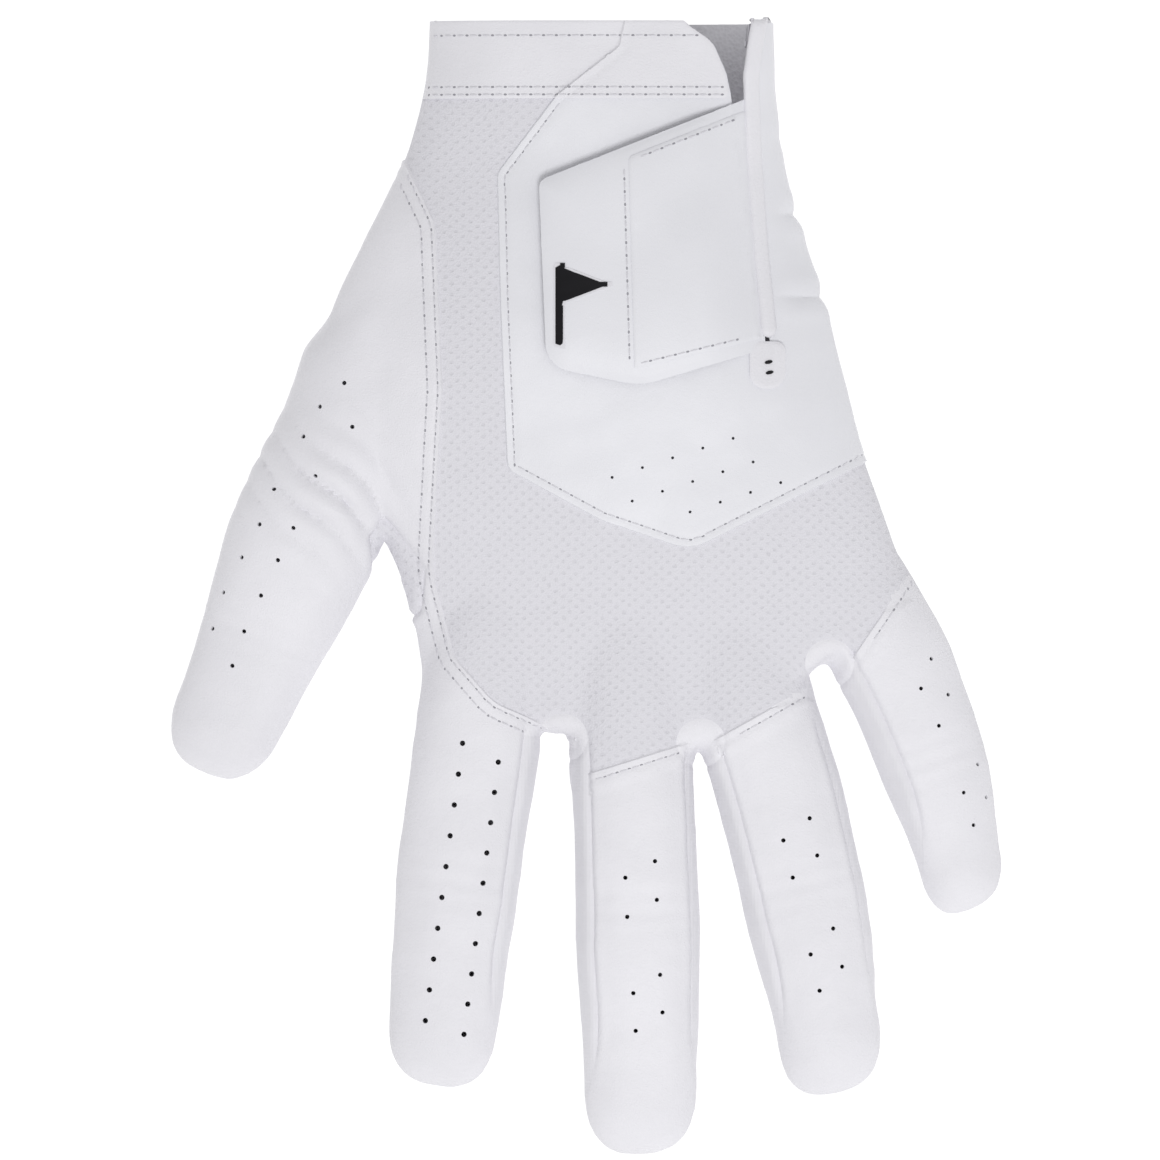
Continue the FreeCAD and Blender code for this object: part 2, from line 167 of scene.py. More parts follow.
for name, d in DIGITS.items():
    d["origin"] = np.array(d["root"])
    span = np.array(d["tip"]) - d["origin"]
    d["length"] = float(np.hypot(*span))
    d["along"] = span / d["length"]
    d["right"] = np.array((-d["along"][1], d["along"][0]))
    for crease in ("knuckle", "middle"):
        hinge = np.array(joints[name + "_" + crease]["pos_m"][:2]) / MM
        d[crease] = float((hinge - d["origin"]) @ d["along"])
print("creases:", {n: (round(d["knuckle"], 1), round(d["middle"], 1)) for n, d in DIGITS.items()})


# %% Reading a digit
def along_digit(d, points):
    """For points in plan: the distance along the digit, sideways from its middle, and half its width."""
    rel = points[:, :2] - d["origin"]
    s = rel @ d["along"]
    t = s / d["length"]
    u = rel @ d["right"] - d["bow"] * 4 * t * (1 - t)
    body = d["length"] - d["widths"][-1] / 2
    half = np.interp(s / body, np.linspace(0, 1, len(d["widths"])), d["widths"]) / 2
    return s, u, half


def eased(places, keys, values, soft):
    """Values at places, read off the lines through keys and then averaged over soft either way."""
    order = np.argsort(keys)
    keys = np.array(keys)[order]
    values = np.array(values)[order]
    return np.mean([np.interp(places + o, keys, values) for o in np.linspace(-soft, soft, 9)], axis=0)


# %% [markdown]
# ## Lofting the forms
# Each section starts as a circle from bmesh and is pulled into a superellipse: an exponent of 2 is an
# ellipse, and more is squarer. Neighbouring sections are bridged, and the two ends filled, which gives
# closed forms that a voxel remesh can merge. A skin of edges could be drawn by hand instead, but then
# every web between two fingers would have to be planned, where the merge makes them by itself.

# %% Lofting the forms
RING_POINTS = 48


def section(bm, centre, across, half_width, half_height, squareness):
    """One upright section as a ring of edges."""
    ring = bmesh.ops.create_circle(bm, segments=RING_POINTS, radius=1.0)["verts"]
    for v in ring:
        w = math.copysign(abs(v.co.x) ** (2 / squareness), v.co.x) * half_width
        h = math.copysign(abs(v.co.y) ** (2 / squareness), v.co.y) * half_height
        v.co = centre + across * w + Vector((0, 0, h))
    return list({e for v in ring for e in v.link_edges})


def loft(sections):
    """A closed form through the given sections."""
    bm = bmesh.new()
    rings = [section(bm, *values) for values in sections]
    for first, second in zip(rings, rings[1:]):
        bmesh.ops.bridge_loops(bm, edges=first + second)
    for end in (rings[0], rings[-1]):
        bmesh.ops.holes_fill(bm, edges=end)
    bmesh.ops.recalc_face_normals(bm, faces=bm.faces)
    return bm


HAND_STEP = 3.0                 # between two sections of the hand
HAND_SOFT, DIGIT_SOFT = 6.0, 5.0        # how far the given sizes are averaged, either way
DIGIT_STEPS = 24
TIP_TURNS = np.radians(np.arange(8, 89, 8))
TIP_POWER = 0.7                 # below 1 makes a fingertip fuller than a half round


def hand_form():
    ys = np.arange(CUFF_Y + 10, -42, -HAND_STEP)
    left, right, height = (eased(ys, HAND_SECTIONS[:, 0], HAND_SECTIONS[:, k], HAND_SOFT) for k in (1, 2, 3))
    height = height * HAND_HEIGHT
    across = Vector((1, 0, 0))
    bm = loft([(Vector(((l + r) / 2, y, h / 2 - SINK)), across, (r - l) / 2, h / 2, HAND_SQUARENESS)
               for y, l, r, h in zip(ys, left, right, height)])
    for (x0, y0), (x1, y1) in zip(WEB_LINE, WEB_LINE[1:]):
        outwards = Vector((y1 - y0, x0 - x1, 0)).normalized()
        outwards = outwards if outwards.y < 0 else -outwards
        cut = bmesh.ops.bisect_plane(bm, geom=bm.verts[:] + bm.edges[:] + bm.faces[:],
                                     plane_co=(x0, y0, 0), plane_no=outwards, clear_outer=True)
        rim = [e for e in cut["geom_cut"] if isinstance(e, bmesh.types.BMEdge)]
        bmesh.ops.holes_fill(bm, edges=rim)
    return bm


def digit_form(d):
    tip_round = d["widths"][-1] / 2
    body = d["length"] - tip_round
    places = np.concatenate((np.linspace(0, body, DIGIT_STEPS + 1), body + tip_round * np.sin(TIP_TURNS)))
    taper = np.concatenate((np.ones(DIGIT_STEPS + 1), np.cos(TIP_TURNS) ** TIP_POWER))
    half, tall = (eased(places, np.linspace(0, body, len(d[size])), d[size], DIGIT_SOFT) / 2
                  for size in ("widths", "heights"))
    across = Vector((*d["right"], 0))
    sections = []
    start = d["origin"] - d["along"] * ROOT_REACH
    first = Vector((*start, tall[0] - SINK))
    sections.append((first, across, half[0] * ROOT_SHARE, tall[0], DIGIT_SQUARENESS))
    for s, w, h, k in zip(places, half, tall, taper):
        t = s / d["length"]
        middle = d["origin"] + d["along"] * s + d["right"] * d["bow"] * 4 * t * (1 - t)
        lift = (h - SINK) * (0.6 + 0.4 * k)
        sections.append((Vector((*middle, lift)), across, w * k, h * k, DIGIT_SQUARENESS))
    return loft(sections)


def joined(bms):
    """Several meshes as one."""
    whole = bmesh.new()
    for bm in bms:
        part = bpy.data.meshes.new("part")
        bm.to_mesh(part)
        whole.from_mesh(part)
        bpy.data.meshes.remove(part)
    return whole


forms = joined([hand_form()] + [digit_form(d) for d in DIGITS.values()])
print("forms:", len(forms.faces), "faces")

# %% [markdown]
# ## One skin
# The six closed forms overlap. A voxel remesh turns them into one even skin, and a few rounds of
# smoothing round the webs between the fingers, which is what a seam allowance does inside a real one.
# The underside is then pressed flat, because leather this thin lies on a table like paper.

# %% One skin
VOXEL = 1.0
SMOOTHING = 10


def baked(obj):
    """The object's mesh with its modifiers applied."""
    bpy.context.view_layer.update()
    mesh = bpy.data.meshes.new_from_object(obj.evaluated_get(bpy.context.evaluated_depsgraph_get()))
    old = obj.data
    obj.modifiers.clear()
    obj.data = mesh
    bpy.data.meshes.remove(old)
    return obj


def new_object(name, bm):
    mesh = bpy.data.meshes.new(name)
    bm.to_mesh(mesh)
    bm.free()
    obj = bpy.data.objects.new(name, mesh)
    bpy.context.scene.collection.objects.link(obj)
    return obj


skin_object = new_object("skin", forms)
remesh = skin_object.modifiers.new("one skin", "REMESH")
remesh.mode = "VOXEL"
remesh.voxel_size = VOXEL
baked(skin_object)

skin = bmesh.new()
skin.from_mesh(skin_object.data)
bpy.data.objects.remove(skin_object)
for _ in range(SMOOTHING):
    bmesh.ops.smooth_vert(skin, verts=skin.verts, factor=0.5, use_axis_x=True, use_axis_y=True,
                          use_axis_z=True)
for v in skin.verts:            # pressed on the table, with a softened rim
    v.co.z = max(v.co.z, 0.0) + 0.15 * math.exp(-abs(v.co.z) / 0.3) * (v.co.z > 0)
bmesh.ops.recalc_face_normals(skin, faces=skin.faces)
print("skin:", len(skin.verts), "points")

# %% [markdown]
# ## Lines of the pattern
# Every seam is described by a field: a distance in millimetres that is positive on one side of the
# line and negative on the other. A field can say where to cut, which panel a face is in, and how the
# surface rises and falls near the seam, so one description serves all three.

# %% Fields


def rounded(corners):
    """Plan outline through (x, y, radius) corners, as points, with each corner turned on its radius."""
    points = []
    for i, (x, y, r) in enumerate(corners):
        here = np.array((x, y), float)
        before = np.array(corners[i - 1][:2], float) - here
        after = np.array(corners[(i + 1) % len(corners)][:2], float) - here
        before /= np.hypot(*before)
        after /= np.hypot(*after)
        if r == 0:
            points.append(here)
            continue
        half = math.acos(float(before @ after)) / 2
        run = r / math.tan(half)
        middle = here + (before + after) / np.hypot(*(before + after)) * (r / math.sin(half))
        a = here + before * run - middle
        b = here + after * run - middle
        for k in np.linspace(0, 1, 7):
            arm = a * (1 - k) + b * k
            points.append(middle + arm / np.hypot(*arm) * r)
    return np.array(points)


def segment_distance(a, b, points):
    """Distance in plan to the nearest of the segments from the points a to the points b."""
    p = points[:, None, :2]
    ab = b - a
    t = np.clip(((p - a) * ab).sum(2) / (ab ** 2).sum(1), 0, 1)
    return np.sqrt((((p - a) - ab * t[..., None]) ** 2).sum(2)).min(1)


def inside_distance(outline, points):
    """Distance in plan to a closed outline, positive inside it."""
    a = outline
    b = np.roll(outline, -1, axis=0)
    near = segment_distance(a, b, points)
    x, y = points[:, :1], points[:, 1:2]
    spans = (a[:, 1] > y) != (b[:, 1] > y)
    reached = a[:, 0] + (b - a)[:, 0] * (y - a[:, 1]) / ((b - a)[:, 1] + 1e-12)
    crossed = (spans & (x < reached)).sum(1)
    return np.where(crossed % 2 == 1, near, -near)


def in_outline(corners):
    outline = rounded(corners)
    return lambda points: inside_distance(outline, points)


SIDE_SEAM_Z = 9.0
BEYOND = 14.0
CLOSURE = [(11.0, CUFF_Y + BEYOND, 0), (6.8, 114.5, 0), (-6.4, 104.2, 2), (-18.9, 87.6, 3), (-18.3, 61.0, 0),
           (-16.8, 24.9, 3), (3.0, 14.2, 0), (22.1, 7.7, 9), (60.0, 26.8, 0), (90.0, 42.0, 0),
           (90.0, CUFF_Y + BEYOND, 0)]
THUMB_SIDE = [(-95.0, 92.0, 0), (-39.0, 92.0, 0), (-31.7, 76.9, 12), (-30.3, 42.0, 0), (-32.4, 3.0, 25),
              (-28.0, -14.5, 8), (-19.5, -24.3, 10), (-2.0, -32.0, 0), (-6.0, -130.0, 0), (-95.0, -130.0, 0)]
SLIT = [(17.0, CUFF_Y + BEYOND, 0), (21.2, CUFF_Y - 0.4, 2), (26.8, 115.2, 5), (29.5, 108.8, 6),
        (30.4, 104.5, 0), (37.4, 45.5, 0), (39.4, 45.5, 0), (33.6, 104.5, 0), (34.2, CUFF_Y - 7.5, 0),
        (36.6, CUFF_Y + BEYOND, 0)]
WEBS = {"web_ring_little": (51.6, -16.2), "web_middle_ring": (24.4, -33.0),
        "web_index_middle": (-5.0, -32.0)}
WEB_RADIUS = 5.2
WEB_LOW = 3.0
STRIP_END, STRIP_TAPER = 6.0, 28.0      # a fourchette ends this far before the tip, and tapers this long
KNUCKLE_SEAMS = {"middle": ((0.9, -39.3), (19.1, -33.6)), "ring": ((31.2, -30.0), (45.5, -21.9)),
                 "little": ((59.3, -10.6), (68.2, 2.6))}
GATHERS = ((95.0, 1.0), (79.0, 1.0), (61.5, 0.8))       # y of each elastic, and how hard it pulls
GUSSET = [(-45.6, 14.5, 2), (-33.0, 16.5, 2), (-35.0, -6.0, 2), (-45.6, -6.0, 2)]
GUSSET_LOW, GUSSET_HIGH = 4.0, 16.0

SEAM_DROP = 5.5                 # the side seam is this much lower at a fingertip


def above_seam(points):
    """Height above the side seam, which comes down along each digit as the digit gets thinner."""
    reach = [along_digit(d, points) for d in DIGITS.values()]
    beside = np.array([np.abs(u) - half for s, u, half in reach])
    shares = np.array([np.clip(s / d["length"], 0, 1) for (s, u, half), d in zip(reach, DIGITS.values())])
    share = np.take_along_axis(shares, beside.argmin(0)[None], 0)[0]
    return points[:, 2] - SIDE_SEAM_Z + SEAM_DROP * share


closure_field = in_outline(CLOSURE)
thumb_side_field = in_outline(THUMB_SIDE)
slit_field = in_outline(SLIT)
gusset_outline_field = in_outline(GUSSET)


def gusset_field(points):
    z = points[:, 2]
    return np.minimum(gusset_outline_field(points), np.minimum(z - GUSSET_LOW, GUSSET_HIGH - z))


def web_field(name):
    centre = np.array(WEBS[name])

    def field(points):
        from_rim = WEB_RADIUS - np.hypot(*(points[:, :2] - centre).T)
        return np.minimum(from_rim, points[:, 2] - WEB_LOW)
    return field


def strip_field(d, side):
    """Positive on the fourchette on one side of a finger."""
    def field(points):
        s, u, half = along_digit(d, points)
        narrowing = np.clip((s - d["length"] + STRIP_END) / STRIP_TAPER + 1, 0, 1) ** 2
        return side * u - (half - d["sides"][side] * (1 - narrowing) + 1.5 * narrowing)
    return field


def knuckle_field(name):
    """Positive on the fingertip's side of the seam across a knuckle."""
    (x0, y0), (x1, y1) = KNUCKLE_SEAMS[name]
    n = np.array((y1 - y0, x0 - x1), float)
    n /= np.hypot(*n)
    n = n if n[1] < 0 else -n
    return lambda points: (points[:, :2] - np.array((x0, y0))) @ n


# %% [markdown]
# ## Where the glove bends
# Each digit bends at two creases, and a panel can only bend across one of them. So each digit is parted
# at two rings: one just before its knuckle crease and past the web, and one halfway between the
# creases.

# %% Where the glove bends
BEFORE_KNUCKLE = 1.7
BEND_BEFORE, BEND_AFTER = 1.5, 10.5
BEND_MIDDLE = 8.0


def first_ring(d):
    return d["knuckle"] - BEFORE_KNUCKLE


def second_ring(d):
    return (d["knuckle"] + BEND_AFTER + d["middle"] - BEND_MIDDLE) / 2


def attach(piece, digit=None, length=None):
    """Lets a piece ride on the hand; a piece of a digit only has its transform baked into its mesh, and
    length is not used.
    """
    if digit is None:
        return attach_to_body(piece, "hand")
    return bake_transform(piece)


print("rings:", {n: (round(first_ring(d), 1), round(second_ring(d), 1)) for n, d in DIGITS.items()})

# %% [markdown]
# ## Scoring the skin
# A knife that follows a field: every edge that crosses the chosen distance is split there, and the
# new points are joined across their faces. Bisect does this for a plane, and this does it for any
# line. Extra rows beside a seam give the surface somewhere to turn, so that an edge is crisp without
# making the whole skin finer.

# %% Scoring the skin
SNAP = 0.07


def coordinates(bm):
    bm.verts.ensure_lookup_table()
    bm.verts.index_update()
    return np.array([v.co[:] for v in bm.verts])


def score(bm, field, levels=(0.0,), where=None):
    """Cuts lines into the mesh where field takes each level, on the points that where picks."""
    for level in levels:
        points = coordinates(bm)
        value = field(points) - level
        value[np.abs(value) < SNAP] = 0.0
        allowed = np.ones(len(points), bool) if where is None else where(points)
        on_line = [bm.verts[i] for i in np.nonzero((value == 0) & allowed)[0]]
        crossing = []
        for e in bm.edges:
            a, b = e.verts[0].index, e.verts[1].index
            if value[a] * value[b] < 0 and allowed[a] and allowed[b]:
                crossing.append((e, e.verts[0], value[a] / (value[a] - value[b])))
        for e, v, share in crossing:
            on_line.append(bmesh.utils.edge_split(e, v, share)[1])
        if on_line:
            bmesh.ops.connect_verts(bm, verts=on_line)


def upper(points):
    return above_seam(points) > -0.2


def near_digit(name, low, high):
    d = DIGITS[name]

    def where(points):
        s, u, half = along_digit(d, points)
        return (s > low) & (s < high) & (np.abs(u) < half + 3.0)
    return where


SEAM_ROWS = (0.0, 0.5, -0.5, 1.2, -1.2)
LAP_ROWS = (0.0, 0.3, -0.5, 1.1, 1.7)
THUMB_LAP_END = -34             # y where the thumb side's scored rows end, on the index finger

score(skin, above_seam, SEAM_ROWS)
score(skin, lambda p: CUFF_Y - p[:, 1], (0.0, 0.4, 1.2))
score(skin, closure_field, LAP_ROWS, upper)
score(skin, thumb_side_field, LAP_ROWS, lambda p: upper(p) & (p[:, 1] > THUMB_LAP_END))
score(skin, slit_field, (0.0,), upper)
score(skin, gusset_field, (0.0, 0.5, -0.5))
for place, pull in GATHERS:
    score(skin, lambda p: p[:, 1] - place, (0.0, 0.5, -0.5), lambda p: p[:, 0] > 34)
for web in WEBS:
    score(skin, web_field(web), (0.0, 0.6, -0.6))
for name, d in DIGITS.items():
    for ring in (first_ring(d), second_ring(d)):
        score(skin, lambda p: along_digit(d, p)[0] - ring, (0.0,), near_digit(name, ring - 3, ring + 3))
    for side in d["sides"]:
        score(skin, strip_field(d, side), SEAM_ROWS, near_digit(name, first_ring(d) - 6, d["length"] - 6))
    if name in KNUCKLE_SEAMS:
        reach = near_digit(name, d["knuckle"] - 14, d["knuckle"] + 10)
        score(skin, knuckle_field(name), LAP_ROWS, lambda p: reach(p) & upper(p))
print("scored skin:", len(skin.faces), "faces")

# %% [markdown]
# ## Pressing the seams
# A sewn surface is never level at its seams. Where one panel laps over another the upper one stands its
# own thickness higher, with a small valley before it. Where two edges are sewn together and turned, they
# make a groove between two soft rolls. A row of stitches pulls a shallow channel. Each is a height that
# depends only on the distance from the seam, so all of them are added up from the fields and the skin is
# moved along its normals once.

# %% Heights beside a seam


def ease(x):
    x = np.clip(x, 0, 1)
    return x * x * (3 - 2 * x)


def bump(x, width):
    return np.exp(-(x / width) ** 2)


def lap(field, height):
    """An upper panel where field is positive, with a valley in front of its edge."""
    return height * ease(field / 0.3) - 0.18 * bump(field + 0.35, 0.35) * (field < 0)


def turned(field, depth):
    """A groove at zero between two rolls."""
    return depth * (0.45 * bump(np.abs(field) - 1.3, 0.8) - bump(field, 0.45))


def rolling(points, size, seed):
    """Slow unevenness, as left by the hand that last wore the glove."""
    shift = Vector((seed * 17.3, seed * 5.1, seed * 9.7))
    return np.array([noise.noise(Vector(p) / size + shift) for p in points])


# %% Pressing the seams
CLOSURE_LAP, THUMB_SIDE_LAP, KNUCKLE_LAP = 0.55, 0.5, 0.4       # how much higher the upper panel stands
SIDE_SEAM_GROOVE, GUSSET_GROOVE, WEB_GROOVE, STRIP_GROOVE = 0.55, 0.55, 0.16, 0.5
STITCH_CHANNEL = 0.16
CLOSURE_ROW = 1.7
THUMB_ROWS = (1.1, 3.3)
KNUCKLE_ROW = 1.7
CREASE_FOLDS = ((-3.4, 0.25), (0.4, 0.4), (4.2, 0.22))  # place from a middle crease, and depth


def seam_heights(points):
    high = ease((above_seam(points) - 0.1) / 0.4)
    x, y, z = points.T
    closure = closure_field(points)
    thumb_side = thumb_side_field(points)
    on_index = ease((y + 66) / 32)          # the thumb side's lap dies away along the index finger
    total = np.maximum(lap(closure, CLOSURE_LAP), lap(thumb_side, THUMB_SIDE_LAP) * on_index) * high
    total -= STITCH_CHANNEL * bump(closure - CLOSURE_ROW, 0.4) * high
    for row in THUMB_ROWS:
        total -= STITCH_CHANNEL * bump(thumb_side - row, 0.4) * high * (y > THUMB_LAP_END) * (closure < 0)
    total += turned(above_seam(points), SIDE_SEAM_GROOVE)
    for web in WEBS:
        w = web_field(web)(points)
        total += turned(w, WEB_GROOVE) + 0.1 * ease((w + 0.2) / 2.0)
    total += turned(gusset_field(points), GUSSET_GROOVE)
    for name, d in DIGITS.items():
        s, u, half = along_digit(d, points)
        near = (s > d["knuckle"] - 12) & (s < d["length"] + 5) & (np.abs(u) < half + 3)
        for side in d["sides"]:
            fade = ease((s - d["knuckle"] + 10) / 6) * ease((d["length"] - 13 - s) / 14)
            total += turned(strip_field(d, side)(points), STRIP_GROOVE) * near * high * fade
        if name in KNUCKLE_SEAMS:
            k = knuckle_field(name)(points)
            off_strips = np.max([strip_field(d, side)(points) for side in d["sides"]], axis=0) < 0.3
            beside = near * high * off_strips * (np.abs(k) < 4)
            total += (lap(k, KNUCKLE_LAP) - STITCH_CHANNEL * bump(k - KNUCKLE_ROW, 0.4)) * beside
        folds = sum(bump(s - d["middle"] - place, 1.6) * depth for place, depth in CREASE_FOLDS)
        total -= folds * ease((half - np.abs(u)) / 5) * near * high * 0.7
    for place, pull in GATHERS:
        inwards = ease((x - 38) / 8)
        total -= pull * (0.5 * bump(y - place, 2.0) + 0.45 * bump(y - place, 0.6)) * inwards
        total += pull * 0.3 * bump(np.abs(y - place) - 3.4, 1.8) * inwards
    return total


def thumb_folds(points):
    """Slanting folds where the thumb was bent last, 27 mm along it."""
    s, u, half = along_digit(DIGITS["thumb"], points)
    across = (s * 0.89 - u * 0.455) * 0.55 + 0.8 * np.sin(u * 0.22)
    folds = 1 - 2 * np.abs(np.sin(across)) ** 0.7
    return -1.05 * folds * bump(s - 27, 11) * bump(u, 13) * ease((points[:, 2] - 6) / 4)


rest_points = coordinates(skin)         # before pressing, where the fields were drawn
skin.normal_update()
lift = seam_heights(rest_points) + thumb_folds(rest_points)
lift += 0.35 * rolling(rest_points, 16.0, 1) + 0.12 * rolling(rest_points, 6.0, 2)
for v, h in zip(skin.verts, lift):
    v.co += v.normal * float(h)
    v.co.z = max(v.co.z, 0.0)
skin.normal_update()
print("pressed between", round(float(lift.min()), 2), "and", round(float(lift.max()), 2), "mm")

# %% [markdown]
# ## Which panel a face belongs to
# The skin is now one surface with every line of the pattern scored into it, so each face lies wholly
# in one panel. The fields are read at the faces' centres, the broad panels first and the small ones
# that lie on them last, and each panel is then lifted out and given the thickness of its material by
# Solidify. A thickness is what makes cut edges, the slit and the wrist opening look like leather and
# not like paper.

# %% Which panel a face belongs to
def panel_names(p):
    """The name of the panel for each point."""
    names = np.full(len(p), "back_mesh", dtype=object)
    high = above_seam(p) > 0
    names[thumb_side_field(p) > 0] = "thumb_side_leather"
    names[closure_field(p) > 0] = "closure_panel"
    names[~high] = "palm_leather"
    for name, d in DIGITS.items():
        s, u, half = along_digit(d, p)
        here = np.abs(u) < half + 2.0
        past = here & (s > first_ring(d))
        length = np.where(s > second_ring(d), "_tip", "_base")
        back = here & (knuckle_field(name)(p) > 0) & (s > 0) if name in KNUCKLE_SEAMS else past
        for zone, part in ((back & high, "_back"), (past & ~high, "_palm")):
            names[zone] = np.array([name + part + end for end in length[zone]], dtype=object)
        for side in d["sides"]:
            beside = [c for c in WEBS.values() if side * along_digit(d, np.array([c]))[1][0] > 0]
            nearest = min(beside, key=lambda c: abs(along_digit(d, np.array([c]))[1][0]))
            start = along_digit(d, np.array([nearest]))[0][0]
            zone = here & high & (strip_field(d, side)(p) > 0) & (s > start) & (s < d["length"] - 4)
            names[zone] = np.array([name + "_fourchette" + end for end in length[zone]], dtype=object)
    names[gusset_field(p) > 0] = "thumb_gusset"
    for web in WEBS:
        names[web_field(web)(p) > 0] = web
    names[(slit_field(p) > 0) & high] = ""
    names[p[:, 1] > CUFF_Y] = ""
    return names


skin.faces.ensure_lookup_table()
centres = np.array([rest_points[[v.index for v in f.verts]].mean(0) for f in skin.faces])
face_panel = panel_names(centres)
for name in sorted(set(face_panel) - {""}):
    print(name, int((face_panel == name).sum()), end="; ")
print()

# %% [markdown]
# ## Materials
# All of the glove is white, so the materials differ in how they scatter light and hardly in hue. Each one
# is a Principled shader with its own grain as a bump, at a real size in millimetres, read from the
# object's own coordinates, so that a pattern stays on its panel when a finger bends.

# %% Nodes and colours


def linear(hex_colour):
    """An sRGB colour such as "e0dfe4" as linear light."""
    parts = [int(hex_colour[i:i + 2], 16) / 255 for i in (0, 2, 4)]
    return tuple(c / 12.92 if c <= 0.04045 else ((c + 0.055) / 1.055) ** 2.4 for c in parts) + (1.0,)


def per_mm(size):
    """The scale that makes a pattern's cell this many millimetres wide."""
    return 1 / (size * MM)


def add(tree, kind, settings=None, links=None):
    """Adds one node with its properties, its sockets' values and its links."""
    node = tree.nodes.new(kind)
    for key, value in (settings or {}).items():
        if isinstance(key, str) and hasattr(node, key):
            setattr(node, key, value)
        else:
            node.inputs[key].default_value = value
    for socket, source in (links or {}).items():
        tree.links.new(source, node.inputs[socket])
    return node


def new_material(name):
    """An empty material, and the coordinates that its patterns read."""
    material = bpy.data.materials.new(name)
    material.use_nodes = True
    tree = material.node_tree
    tree.nodes.clear()
    return material, tree, add(tree, "ShaderNodeTexCoord").outputs["Object"]


def surfaced(tree, shader, tones, share, height, depth):
    """Ends a material: two tones blended by one pattern, with another as its relief, depth in mm."""
    dark, light = (linear(tone) for tone in tones)
    colour = add(tree, "ShaderNodeMix", {"data_type": "RGBA", 6: dark, 7: light}, {0: share})
    relief = add(tree, "ShaderNodeBump", {"Distance": depth * MM}, {"Height": height})
    surface = add(tree, "ShaderNodeBsdfPrincipled", shader,
                  {"Base Color": colour.outputs[2], "Normal": relief.outputs["Normal"]})
    add(tree, "ShaderNodeOutputMaterial", links={"Surface": surface.outputs["BSDF"]})


# %% [markdown]
# ### Leathers
# Cabretta is tawed hair sheep: white right through, matt, with pores about 0.3 mm across that are drawn
# at 0.6 mm, and faint wrinkles where it was stretched over the last. The closure and the tab are a coated
# microfibre, which has the same colour but a shallower, more even grain and a slight shine.

# %% Leathers


def leather(name, tones, pore, depth, roughness):
    material, tree, place = new_material(name)
    patches = add(tree, "ShaderNodeTexNoise", {"Scale": per_mm(26), "Detail": 3.0}, {"Vector": place})
    spread = add(tree, "ShaderNodeMapRange", {"From Min": 0.35, "From Max": 0.65},
                 {"Value": patches.outputs["Fac"]})
    pores = add(tree, "ShaderNodeTexVoronoi", {"feature": "DISTANCE_TO_EDGE", "Scale": per_mm(pore)},
                {"Vector": place})
    creases = add(tree, "ShaderNodeTexNoise", {"Scale": per_mm(3.2), "Detail": 5.0, "Roughness": 0.6},
                  {"Vector": place})
    grain = add(tree, "ShaderNodeMath", {"operation": "MULTIPLY_ADD", 1: 1.6},
                {0: creases.outputs["Fac"], 2: pores.outputs["Distance"]})
    surfaced(tree, {"Roughness": roughness, "IOR": 1.45}, tones, spread.outputs["Result"],
             grain.outputs["Value"], depth)
    return material


cabretta = leather("cabretta leather, tawed white", ("e3e2e7", "e9e8ed"), 0.6, 0.10, 0.55)
microfibre = leather("coated microfibre, white", ("e2e2e7", "e7e7ec"), 0.45, 0.05, 0.45)


# %% [markdown]
# ### Knits
# The back is a birdseye warp knit: small hollows in staggered rows, about 2.8 mm apart, with threads
# finer than the render can show, drawn at 0.45 mm. Two sine waves multiplied give the staggered rows,
# where a brick or checker texture would give hard squares. The fourchettes between the fingers are a
# finer, smoother stretch knit, whose ribs run along the finger.

# %% Knits
EYE_PITCH = 2.8
THREAD_PITCH = 0.45
RIB_PITCH = 0.7
WANDER = 0.0019                 # in metres: the rows of hollows stray by half of it, either way


def ridges(tree, coordinate, pitch):
    """A sine of this pitch along one coordinate, from -1 to 1."""
    turns = 2 * math.pi * per_mm(pitch)
    angle = add(tree, "ShaderNodeMath", {"operation": "MULTIPLY", 1: turns}, {0: coordinate})
    return add(tree, "ShaderNodeMath", {"operation": "SINE"}, {0: angle.outputs["Value"]}).outputs["Value"]


def birdseye_knit():
    material, tree, place = new_material("birdseye warp knit, polyester")
    wander = add(tree, "ShaderNodeTexNoise", {"Scale": per_mm(5.0), "Detail": 2.0}, {"Vector": place})
    centred = add(tree, "ShaderNodeVectorMath", {"operation": "SUBTRACT", 1: (0.5, 0.5, 0.5)},
                  {0: wander.outputs["Color"]})
    bent = add(tree, "ShaderNodeVectorMath", {"operation": "MULTIPLY_ADD", 1: (WANDER, WANDER, 0.0)},
               {0: centred.outputs["Vector"], 2: place})
    axes = add(tree, "ShaderNodeSeparateXYZ", links={"Vector": bent.outputs["Vector"]})
    across = ridges(tree, axes.outputs["X"], EYE_PITCH)
    down = ridges(tree, axes.outputs["Y"], EYE_PITCH * 0.86)
    eyes = add(tree, "ShaderNodeMath", {"operation": "MULTIPLY"}, {0: across, 1: down}).outputs["Value"]
    rounded_steps = {"interpolation_type": "SMOOTHSTEP", "From Min": 0.35, "From Max": 0.95}
    hollow = add(tree, "ShaderNodeMapRange", rounded_steps, {"Value": eyes}).outputs["Result"]
    # The hollows are coloured darker, more in some patches than others: painted shade in the knit's eyes.
    shade_patchiness = add(tree, "ShaderNodeTexNoise", {"Scale": per_mm(9), "Detail": 2.0}, {"Vector": place})
    painted_hollow_shade = add(tree, "ShaderNodeMath", {"operation": "MULTIPLY"}, {0: hollow, 1: shade_patchiness.outputs["Fac"]})
    threads = add(tree, "ShaderNodeTexVoronoi", {"Scale": per_mm(THREAD_PITCH)}, {"Vector": place})
    relief = add(tree, "ShaderNodeMath", {"operation": "MULTIPLY_ADD", 1: -0.7},
                 {0: hollow, 2: threads.outputs["Distance"]})
    surfaced(tree, {"Roughness": 0.85, "Sheen Weight": 0.15}, ("dedde3", "d0cfd5"),
             painted_hollow_shade.outputs["Value"], relief.outputs["Value"], 0.1)
    return material


